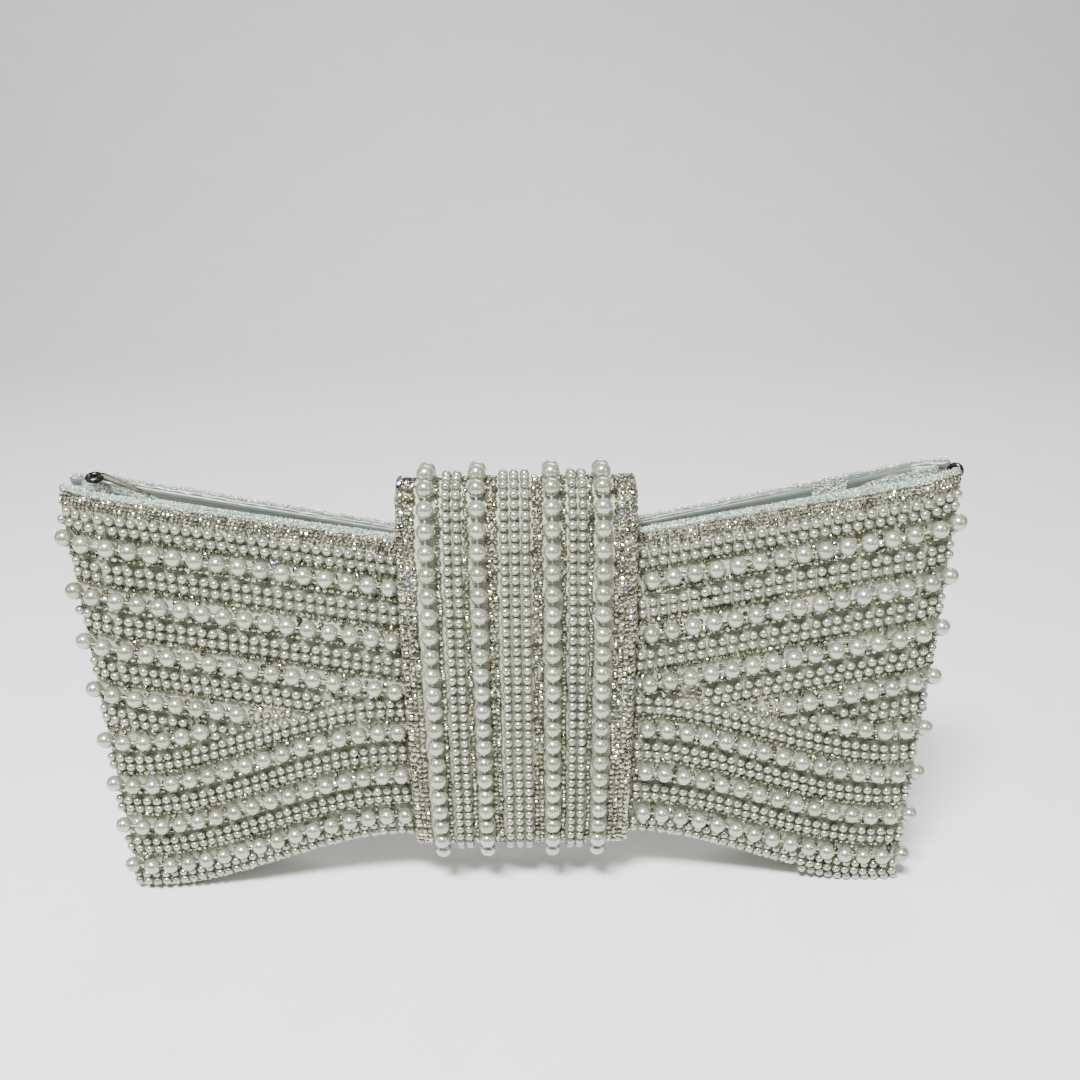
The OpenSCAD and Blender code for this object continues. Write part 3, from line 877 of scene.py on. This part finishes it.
def piping():
    """Covered cord at the fold of the flap."""
    xs = np.linspace(-KNOT_HALF, KNOT_HALF, 180)
    turn = circle(28)
    x = KNOT_X + xs[:, None] + 0 * turn
    shut = np.sqrt(np.maximum(1 - clamp((np.abs(xs) - KNOT_HALF + 1.2) / 1.2) ** 2, 0.05))[:, None]
    twist = 0.05 * np.sin(x * 2.4 + turn * 2)
    r = (CORD_R - 0.1 + twist) * shut
    rings = xyz(x, FOLD_Y + r * np.cos(turn), FOLD_Z + r * np.sin(turn))
    ride(mesh_object("fold_piping", *tube(rings), cloth), "root", "beading_ground", "fold_cord")


def fold_cloth():
    """Fabric over the piping that joins the band to the flap."""
    top = band[-1] + line_normals(band, -1)[-1] * 2.6
    end = flap[-1] + line_normals(flap)[-1] * 2.6
    angle = np.linspace(math.radians(-62), math.radians(38), 20)
    wrap = xyz(FOLD_Y + (CORD_R + 0.2) * np.cos(angle), FOLD_Z + (CORD_R + 0.2) * np.sin(angle))
    low = xyz(np.interp(np.linspace(0, 1, 16), [0, 1], [top[0], wrap[0, 0]]),
              np.interp(np.linspace(0, 1, 16), [0, 1], [top[1] - 0.6, wrap[0, 1]]))
    high = xyz(np.linspace(wrap[-1, 0], end[0], 6), np.linspace(wrap[-1, 1], end[1] + 0.9, 6))
    line = even(np.concatenate([low, wrap[1:], high[1:]]), 0.35)
    x = np.broadcast_to(KNOT_X + np.linspace(-KNOT_HALF + 0.4, KNOT_HALF - 0.4, 110), (len(line), 110))
    crease = 0.07 * ripple(x, np.arange(len(line))[:, None] * 0.8, 6, 91)
    obj = shell("fold_cloth", off_line(line, -1, x, 0.5 + crease), off_line(line, -1, x, crease), cloth, flip=True)
    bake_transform(obj)
    return obj


piping()
fold = fold_cloth()


# ---------------------------------------------------------------- beads
def sphere(divisions):
    b = bmesh.new()
    bmesh.ops.create_icosphere(b, subdivisions=divisions, radius=1.0)
    b.verts.ensure_lookup_table()
    points = np.array([v.co[:] for v in b.verts])
    faces = np.array([[v.index for v in f.verts] for f in b.faces])
    b.free()
    return points, faces


def brilliant():
    """An eight-sided cut stone in a shallow cup, its table towards +Z."""
    eight = np.arange(8) * math.pi / 4
    half = eight + math.pi / 8
    rings = [xyz(r * np.cos(t), r * np.sin(t), np.full(8, z))
             for r, t, z in ((0.72, half, -0.45), (1.0, eight, 0.0), (0.82, half, 0.34), (0.46, eight, 0.58))]
    points = np.concatenate(rings + [[[0, 0, 0.60]], [[0, 0, -0.45]]])
    k = np.arange(8)
    n = (k + 1) % 8
    p = (k - 1) % 8
    low = np.concatenate([xyz(k, n, 8 + n), xyz(8 + k, k, 8 + n)])
    mid = np.concatenate([xyz(8 + k, 8 + n, 16 + k), xyz(16 + k, 8 + n, 16 + n)])
    high = np.concatenate([xyz(16 + k, 24 + n, 24 + k), xyz(16 + p, 16 + k, 24 + k)])
    table = xyz(24 + k, 24 + n, np.full(8, 32))
    back = xyz(n, k, np.full(8, 33))
    return points, np.concatenate([low, mid, high, table, back])


BALL = sphere(3)
SMALL_BALL = sphere(2)
CUT = brilliant()


def frames_of(normals, spin):
    """Rotations whose third axis is the normal, turned about it by spin."""
    helper = np.where(np.abs(normals[:, :1]) < 0.8, [[1.0, 0, 0]], [[0, 1.0, 0]])
    a = unit(np.cross(helper, normals))
    b = np.cross(normals, a)
    c, s = np.cos(spin)[:, None], np.sin(spin)[:, None]
    return xyz(a * c + b * s, b * c - a * s, normals)


def scatter(name, template, centres, normals, radius, spread, material, tilt=0.0, soft=True):
    """Many copies of a template with their axes along the normals."""
    count = len(centres)
    tilted = unit(normals + rng.normal(0, tilt, (count, 3)) if tilt else normals)
    turn = frames_of(tilted, rng.uniform(0, 2 * math.pi, count))
    size = radius * (1 + rng.uniform(-spread, spread, count))
    points, faces = template
    placed = np.einsum("nij,pj->npi", turn, points) * size[:, None, None] + centres[:, None]
    shift = (len(points) * np.arange(count))[:, None, None]
    return mesh_object(name, placed.reshape(-1, 3), [(faces[None] + shift).reshape(-1, faces.shape[1])],
                       material, soft)


def joined(sets):
    """Centres and normals of several sets of beads as one set."""
    return tuple(np.concatenate(part) for part in zip(*sets))


def thread_lines(name, lines):
    """Bead thread along each line of points."""
    turn = circle(6)
    parts = []
    for line in lines:
        d = unit(np.gradient(line, axis=0))
        a = unit(np.cross(d, [0.0, 1.0, 0.0]))
        b = np.cross(d, a)
        parts.append(tube(line[:, None] + THREAD_R * (a[:, None] * np.cos(turn)[:, None]
                                                      + b[:, None] * np.sin(turn)[:, None])))
    return mesh_object(name, *merge(parts), thread)


class Bed:
    """Places that are taken by beads, so that the next one keeps clear."""

    def __init__(self):
        self.points, self.sizes = [], []

    def free(self, points, radius, pack):
        """Which of the points lie clear of everything placed before."""
        if not self.points:
            return np.ones(len(points), bool)
        tree = KDTree(len(self.points))
        for k, p in enumerate(self.points):
            tree.insert(p, k)
        tree.balance()
        keep = []
        for p in points:
            near = tree.find_range(p, radius + max(self.sizes))
            keep.append(all(d >= (radius + self.sizes[k]) * pack for _, k, d in near))
        return np.array(keep, bool)

    def take(self, points, radius):
        self.points += [tuple(p) for p in points]
        self.sizes += [radius] * len(points)


def walk(first, height, pitch, start):
    """x along a row from first to the wing's end, at even steps of the distance along the panel."""
    x = np.linspace(first, LAST_X, 500)
    run = run_of(panel_point(x, height(x)))
    return np.interp(np.arange(start, run[-1], pitch), run, x)


def upper(offset):
    return lambda x: lip_z(x) - offset


def lower(height):
    return lambda x: height + 0.97 * bottom_z(x)


LAST_X = HALF_W - 0.5
PEARL_X = np.append(40.2 + 6.95 * np.arange(15), 144.2)
# rows of large pearls as height and the place of the first pearl, counted from the knot
LARGE_ROWS = [(upper(UPPER_FIRST + ROW_PITCH * k), 8 if k == 3 else 0) for k in range(4)]
LARGE_ROWS += [(lower(LOWER_FIRST + ROW_PITCH * (3 - k)), 10 if k == 0 else 0) for k in range(4)]


def small_rows():
    """Rows of small pearls as height and start: below each lower row, under the lip, below each upper row."""
    rows = [(lower(LOWER_FIRST - 4.7), 0.0), (lower(LOWER_FIRST - 8.1), 0.0), (lower(1.2), 96.0)]
    for k in (1, 2, 3):
        rows += [(lower(LOWER_FIRST + ROW_PITCH * k - step), 0.0) for step in SMALL_STEPS]
    rows += [(upper(UPPER_FIRST - 9.2), 0.0), (upper(UPPER_FIRST - 5.8), 0.0)]
    for k, start in enumerate((0.0, 0.0, 67.0, 98.0)):
        rows += [(upper(UPPER_FIRST + ROW_PITCH * k + step), start) for step in SMALL_STEPS]
    return rows


def stone_rows():
    """Rows of stones as height and radius: fine ones under the lip, then one on each side of the pearls."""
    rows = [(upper(drop), LIP_STONE_R) for drop in (1.9, 3.2, 4.5, 5.8)] + [(upper(UPPER_FIRST - 3.6), STONE_R)]
    for k in range(4):
        if k > 0:
            rows += [(lower(LOWER_FIRST + ROW_PITCH * k - step), STONE_R) for step in STONE_STEPS]
        rows += [(upper(UPPER_FIRST + ROW_PITCH * k + step), STONE_R) for step in STONE_STEPS]
    return rows + [(lower(1.7), STONE_R)]


def wing_beads(side):
    """Seats of all beads on one wing: large pearls, small pearls and stones with their radii."""
    bed, stone_bed = Bed(), Bed()
    edge = KNOT_HALF + side * KNOT_X
    large, small, cut = [], [], []
    for height, first in LARGE_ROWS:
        x = PEARL_X[max(first, 1 if side > 0 else 0):]
        large.append((x, height(x)))
        bed.take(panel_point(x, height(x)), PEARL_R + 0.2)
        stone_bed.take(panel_point(x, height(x)), PEARL_R - 0.9)
    for height, start in small_rows():
        x = walk(max(start, edge + SMALL_GAP), height, SMALL_PITCH, rng.uniform(0, 0.8))
        z = np.maximum(height(x), bottom_z(x) + 1.6)
        seats = panel_point(x, z)
        ok = bed.free(seats, SMALL_R, SMALL_PACK) & (z < lip_z(x) - 6.5)
        bed.take(seats[ok], SMALL_R)
        stone_bed.take(seats[ok], SMALL_R - 0.2)
        small.append(xyz(x[ok], z[ok]))

    def stones_at(x, z, radius):
        stone_bed.take(panel_point(x, z), radius)
        cut.append(xyz(x, z, np.full(len(x), radius)))

    for height, radius in stone_rows():
        x = walk(edge + STONE_GAP, height, 2 * radius, rng.uniform(0, 1.2))
        z = np.maximum(height(x), bottom_z(x) + 1.3)
        ok = stone_bed.free(panel_point(x, z), radius, STONE_PACK)
        stones_at(x[ok], z[ok], radius)
    for _ in range(FILL_ROUNDS):
        x = rng.uniform(edge + STONE_GAP, LAST_X, FILL_TRIES)
        z = bottom_z(x) + 1.4 + rng.uniform(0, 1, FILL_TRIES) * (lip_z(x) - 3.6 - bottom_z(x))
        seats = panel_point(x, z)
        chosen = []
        for k in np.flatnonzero(stone_bed.free(seats, STONE_R, FILL_PACK)):
            if not chosen or np.linalg.norm(seats[chosen] - seats[k], axis=1).min() > 2 * STONE_R * FILL_PACK:
                chosen.append(k)
        stones_at(x[chosen], z[chosen], STONE_R)
    return large, np.concatenate(small), np.concatenate(cut)


def seated(x, z, stand, side, back, jitter=0.0):
    """Centres and normals on one wing; side is -1 on the left, back is true behind."""
    x = x + rng.uniform(-jitter, jitter, len(x))
    z = z + rng.uniform(-jitter, jitter, len(z))
    flip = np.array([side, -1.0 if back else 1.0, 1.0])
    n = panel_normal(x, z)
    return (xyz(x, -depth(x, z), z) + n * stand) * flip, n * flip


def dress_wing(side, back):
    """All beads of one wing as separate pieces."""
    face, body = face_of(back)
    place = f"{face}_{'left' if side < 0 else 'right'}"
    large, small, cut = wing_beads(side)
    lines = []
    for half, rows in (("upper", large[:4]), ("lower", large[4:])):
        seats = [seated(x, z, PEARL_STAND, side, back) for x, z in rows]
        lines += [c for c, _ in seats]
        c, n = joined(seats)
        obj = scatter(f"pearls_{place}_{half}_set", BALL, c, n, PEARL_R, PEARL_SPREAD, pearl)
        ride(obj, body, "pearl", f"pearls_{place}_{half}")
    ride(thread_lines(f"thread_{place}", lines), body, "pearl")
    c, n = seated(small[:, 0], small[:, 1], SMALL_R + 0.15, side, back, 0.1)
    c[:, 2] = np.maximum(c[:, 2], SMALL_R)
    ride(scatter(f"small_pearls_{place}", SMALL_BALL, c, n, SMALL_R, SMALL_SPREAD, small_pearl), body, "pearl")
    c, n = seated(cut[:, 0], cut[:, 1], 0.6, side, back, 0.12)
    c[:, 2] = np.maximum(c[:, 2], STONE_R + 0.05)
    ride(scatter(f"stones_{place}", CUT, c, n, cut[:, 2], 0.16, stones, 0.3, False), body, "crystal")


for wing_back in (False, True):
    for wing_side in (-1, 1):
        dress_wing(wing_side, wing_back)

KNOT_SMALL_X = (-20.2, -16.8, -1.7, 1.85, 5.4, 20.5, 23.9)
KNOT_STONE_X = (-34.9, -33.1, -31.3, -23.2, -14.0, -6.5, -4.7, 8.3, 10.1, 17.8, 26.7, 34.8, 36.6, 38.4, 40.1)


def on_band(line, turn, stand, start, end, pitch):
    """Points and normals along a band, at even steps and at stand above its inner face."""
    n = line_normals(line, turn)
    raised = line + n * stand
    run = run_of(raised)
    s = np.arange(start, run[-1] - end, pitch)
    p, m = (xyz(*(np.interp(s, run, grid[:, k]) for k in (0, 1))) for grid in (raised, n))
    return p, unit(m)


def column(x, line, turn, stand, start, end, pitch, jitter=0.0):
    p, m = on_band(line, turn, stand, start, end, pitch)
    n = len(p)
    shake = rng.uniform(-jitter, jitter, (n, 2))
    centres = xyz(np.full(n, x) + shake[:, 0], p[:, 0], p[:, 1] + shake[:, 1])
    return centres, xyz(np.zeros(n), m[:, 0], m[:, 1])


def dress_band(prefix, line, turn, body, top_gap, pearl_names, stood_for):
    """Beads in columns on the flap or on the band behind."""
    sets = [column(x, line, turn, FLAP_T + PEARL_STAND, COLUMN_START, top_gap, COLUMN_PITCH) for x in COLUMN_X]
    lines = [c for c, _ in sets]
    if len(pearl_names) == 1:
        sets = [joined(sets)]
    for name, (c, n), node in zip(pearl_names, sets, stood_for):
        ride(scatter(name, BALL, c, n, PEARL_R, PEARL_SPREAD, pearl), body, "pearl", node)
    ride(thread_lines(f"{prefix}_thread", lines), body, "pearl")
    parts = [column(x, line, turn, FLAP_T + SMALL_R + 0.1, 1.2 + rng.uniform(0, 0.8), top_gap - 2.5,
                    SMALL_PITCH, 0.08) for x in KNOT_SMALL_X]
    c, n = joined(parts)
    ride(scatter(f"{prefix}_small_pearls", SMALL_BALL, c, n, SMALL_R, SMALL_SPREAD, small_pearl), body, "pearl")
    parts = [column(x, line, turn, FLAP_T + 0.55, 0.8 + rng.uniform(0, 0.8), top_gap - 3,
                    STONE_PITCH, 0.3) for x in KNOT_STONE_X]
    for side in (-1, 1):
        for out, stand, start, lean in ((0.25, FLAP_T - 1.7, 1.4, 0.1), (-0.1, FLAP_T - 0.1, 0.6, 1.0)):
            x = KNOT_X + side * (KNOT_HALF + out)
            c, n = column(x, line, turn, stand, start, top_gap - 2.5, STONE_PITCH, 0.12)
            parts.append((c, n * lean + np.array([side, 0.0, 0.0])))
    c, n = joined(parts)
    return ride(scatter(f"{prefix}_stones", CUT, c, n, STONE_R, 0.2, stones, 0.32, False), body, "crystal")


knot_stones = dress_band("knot", flap, 1, "knot_flap", 5.0, [f"knot_pearls_{k}_set" for k in (1, 2, 3, 4)],
                         [f"knot_pearls_{k}" for k in (1, 2, 3, 4)])
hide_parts("knot_edging_left", "knot_edging_right")
dress_band("back_band", band, -1, "root", 4.0, ["back_band_pearl_set"], ["back_band_pearls"])


def corner_stones():
    """Three aurora stones at the flap's upper left corner."""
    c, n = column(KNOT_X - KNOT_HALF + 0.5, flap, 1, FLAP_T + 1.2, 0.0, 0.0, 1.9)
    crest = int(np.argmax(c[:, 2]))
    pick = slice(crest - 2, crest + 1)
    return ride(scatter("knot_corner_stones", CUT, c[pick], n[pick] + [-0.5, 0, 0], 1.15, 0.05, aurora, 0.1, False),
                "knot_flap", "crystal")


corner_stones()


# ---------------------------------------------------------------- hardware
def ribbon(name, path, y0, y1):
    """Glitter tape that follows a path of [x, z] points, its edges a little rounded."""
    line = even(np.array(path, float), 0.4)
    across_y = np.linspace(y0, y1, 12)
    soft = TAPE_T / 2 * np.sqrt(np.maximum(1 - (2 * (across_y - y0) / (y1 - y0) - 1) ** 8, 0.2))
    y = np.broadcast_to(across_y, (len(line), 12))
    wave = 0.08 * ripple(y, np.arange(len(line))[:, None] * 0.4, 3, 95)
    outer, inner = (off_line(line, 1, y, n)[..., [1, 0, 2]] for n in (soft + wave, wave - soft))
    return shell(name, outer, inner, glitter)


def ring_tabs():
    """Cloth loops that hold the corner rings."""
    low, high = in_mm(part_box("ring_tab_left"))
    path = [(low[0] + 0.5, low[2]), (low[0] + 0.5, high[2] - 1.2), (low[0] + 1.1, high[2] - 0.6),
            (high[0], high[2] - 0.5)]
    ride(ribbon("ring_tab_cloth_left", path, low[1], high[1]), "root", "glitter_binding", "ring_tab_left")
    low, high = in_mm(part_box("ring_tab_right"))
    middle = (low[0] + high[0]) / 2
    path = [(middle, low[2] - 0.4), (middle + 0.15, high[2] + 0.5)]
    ride(ribbon("ring_tab_cloth_right", path, low[1], high[1]), "root", "glitter_binding", "ring_tab_right")


def stay():
    """Tapered dark metal bar; its flat faces get a light gilt metal as a painted highlight."""
    low, high = in_mm(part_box("pocket_stay"))
    start, end = np.array([low[0] - 0.8, high[1] - 0.3, high[2]]), np.array([high[0], low[1] + 0.2, low[2] + 0.9])
    d = (end - start) / np.linalg.norm(end - start)
    side = np.cross([0.0, 1.0, 0.0], d)
    side /= np.linalg.norm(side)
    out = np.cross(d, side)
    t = np.linspace(0, 1, 60)
    wide = 1.3 * (1 - 0.6 * t**1.5) * np.sqrt(np.minimum(1, 0.15 + t * 18))
    section = np.array([(-0.55, -0.34), (-0.86, -0.28), (-1.0, -0.12), (-1.0, 0.12), (-0.86, 0.28), (-0.3, 0.34),
                        (0.3, 0.34), (0.86, 0.28), (1.0, 0.12), (1.0, -0.12), (0.86, -0.28), (0.55, -0.34)])
    sag = -0.25 * np.sin(math.pi * t)
    rings = (start + (end - start) * t[:, None])[:, None] + (wide[:, None, None] * section[None, :, :1]) * side \
        + (section[None, :, 1:] * np.minimum(1, wide[:, None, None] * 1.4)) * out + sag[:, None, None] * side
    obj = mesh_object("pocket_stay_bar", *tube(rings), nickel)
    # the two flat faces in gilt stand for the highlight on the dark metal: painted highlight
    second_look(obj, highlight_gilt, np.isin(np.arange(len(section)), (5, 11)), len(t) - 1)
    ride(obj, "root", "dark_metal", "pocket_stay")


def corner_ring(place, centre, pitch, yaw, radius, wire):
    """Small dark split ring, a little worn where the ends meet."""
    steps, around = 72, 20
    t = circle(steps)[:, None]
    u = circle(around)[None, :]
    thick = wire * (1 - 0.35 * np.exp(-((t - 3.6) / 0.05) ** 2))
    reach = radius + thick * np.cos(u)
    ring = xyz(reach * np.cos(t), reach * np.sin(t), thick * np.sin(u) + 0 * t)
    turn = Matrix.Rotation(math.radians(yaw), 3, "Z") @ Matrix.Rotation(math.radians(pitch), 3, "X")
    points = ring.reshape(-1, 3) @ np.array(turn).T + centre
    first = np.arange(around)
    last = (steps - 1) * around + first
    close = xyz(last, np.roll(last, -1), np.roll(first, -1), first)
    faces = [quads(steps, around, round_cols=True), close]
    obj = mesh_object(f"corner_ring_{place}_wire", points, faces, nickel)
    ride(obj, "root", "dark_metal", f"corner_ring_{place}")


ring_tabs()
stay()
corner_ring("left", (-135.3, 0.3, END_H + 0.2), 10, 8, 2.1, 0.95)
corner_ring("right", (144.6, -2.0, END_H - 1.9), 90, -40, 1.9, 0.85)

CAD_LOOKS = {
    "front_board": board, "back_board": board, "knot_board": board, "back_band_board": board,
    "front_lip_wire": steel, "back_lip_wire": steel, "front_magnet": steel, "knot_magnet": steel}
for node_name, look in CAD_LOOKS.items():
    part = nodes[node_name]
    if not part.material_slots:
        part.data.materials.append(look)
    for part_slot in part.material_slots:
        part_slot.link = "OBJECT"
        part_slot.material = look


# ---------------------------------------------------------------- floor, light and camera
def floor():
    """Pale floor that curves up into a backdrop."""
    size = 6.0
    mesh = bpy.data.meshes.new("floor")
    back_y, rise, r = 1.6, 3.0, 0.7
    arc = np.linspace(0, math.pi / 2, 16)
    profile = [(-size, 0.0), (back_y - r, 0.0)]
    profile += [(back_y - r + r * math.sin(a), r - r * math.cos(a)) for a in arc[1:]] + [(back_y, rise)]
    verts = [(x, y, z) for y, z in profile for x in (-size, size)]
    mesh.from_pydata(verts, [], [(2 * k, 2 * k + 1, 2 * k + 3, 2 * k + 2) for k in range(len(profile) - 1)])
    for poly in mesh.polygons:
        poly.use_smooth = True
    look = Look("floor", Specular_IOR_Level=0.25)
    tone = look.mottle(30, 3, (0.3, (0.66, 0.66, 0.662)), (0.7, (0.68, 0.68, 0.682)))
    mesh.materials.append(look.done(Base_Color=tone, Roughness=look.mottle(60, 2, (0.3, 0.6), (0.7, 0.7))))
    obj = bpy.data.objects.new("floor", mesh)
    bpy.context.scene.collection.objects.link(obj)


def soft_light(name, place, size, watts, colour=(1, 1, 1)):
    """A rectangular light that faces the bag."""
    data = bpy.data.lights.new(name, "AREA")
    data.shape = "RECTANGLE"
    data.size, data.size_y = size
    data.energy = watts
    data.color = colour
    obj = bpy.data.objects.new(name, data)
    obj.location = place
    obj.rotation_euler = (LIGHT_TARGET - Vector(place)).to_track_quat("-Z", "Y").to_euler()
    bpy.context.scene.collection.objects.link(obj)


floor()
LIGHT_TARGET = Vector((0, 0, 0.08))
soft_light("key", (-0.2, -0.62, 1.15), (0.40, 0.22), 64)
soft_light("fill_right", (1.0, -0.7, 0.7), (0.4, 0.5), 2.5, (1.0, 0.98, 0.95))
soft_light("fill_left", (-1.1, -0.4, 0.6), (0.3, 0.5), 2, (0.95, 0.98, 1.0))
soft_light("back", (0.2, 1.0, 1.0), (0.8, 0.4), 8)


def studio_world():
    """Dim round the horizon and brighter overhead."""
    world = bpy.data.worlds.new("studio")
    bpy.context.scene.world = world
    world.use_nodes = True
    tree = world.node_tree
    sky = tree.nodes["Background"]
    height = tree.nodes.new("ShaderNodeSeparateXYZ")
    ramp = tree.nodes.new("ShaderNodeValToRGB")
    tree.links.new(tree.nodes.new("ShaderNodeTexCoord").outputs["Generated"], height.inputs[0])
    tree.links.new(height.outputs["Z"], ramp.inputs["Fac"])
    tree.links.new(ramp.outputs["Color"], sky.inputs["Color"])
    for stop, place, colour in zip(ramp.color_ramp.elements, (0.25, 0.85), ((0.36, 0.365, 0.37), (0.95, 0.95, 0.935))):
        stop.position = place
        stop.color = (*colour, 1)
    sky.inputs["Strength"].default_value = 0.45


studio_world()

# The photograph's camera: its angles and distance from a point in the middle of the front
YAW, ELEVATION, ROLL = (math.radians(a) for a in (0.75, 29.38, 1.25))
DISTANCE = 369.6
AIM = Vector((0, -20, 85))
camera_data = bpy.data.cameras.new("camera")
camera = bpy.data.objects.new("camera", camera_data)
bpy.context.scene.collection.objects.link(camera)
away = Vector((math.sin(YAW) * math.cos(ELEVATION), -math.cos(YAW) * math.cos(ELEVATION), math.sin(ELEVATION)))
right = Vector((math.cos(YAW), math.sin(YAW), 0))
up = away.cross(right)
turned_right = right * math.cos(ROLL) - up * math.sin(ROLL)
turned_up = right * math.sin(ROLL) + up * math.cos(ROLL)
camera.rotation_mode = "QUATERNION"
camera.rotation_quaternion = Matrix((turned_right, turned_up, away)).transposed().to_quaternion()
camera.location = (AIM + away * DISTANCE) * MM
camera_data.sensor_width = 36
camera_data.lens = 35.96
camera_data.shift_x = 0.0259
camera_data.shift_y = 0.1449
camera_data.clip_start = 0.01
camera_data.clip_end = 30
bpy.context.scene.camera = camera

bpy.context.view_layer.update()
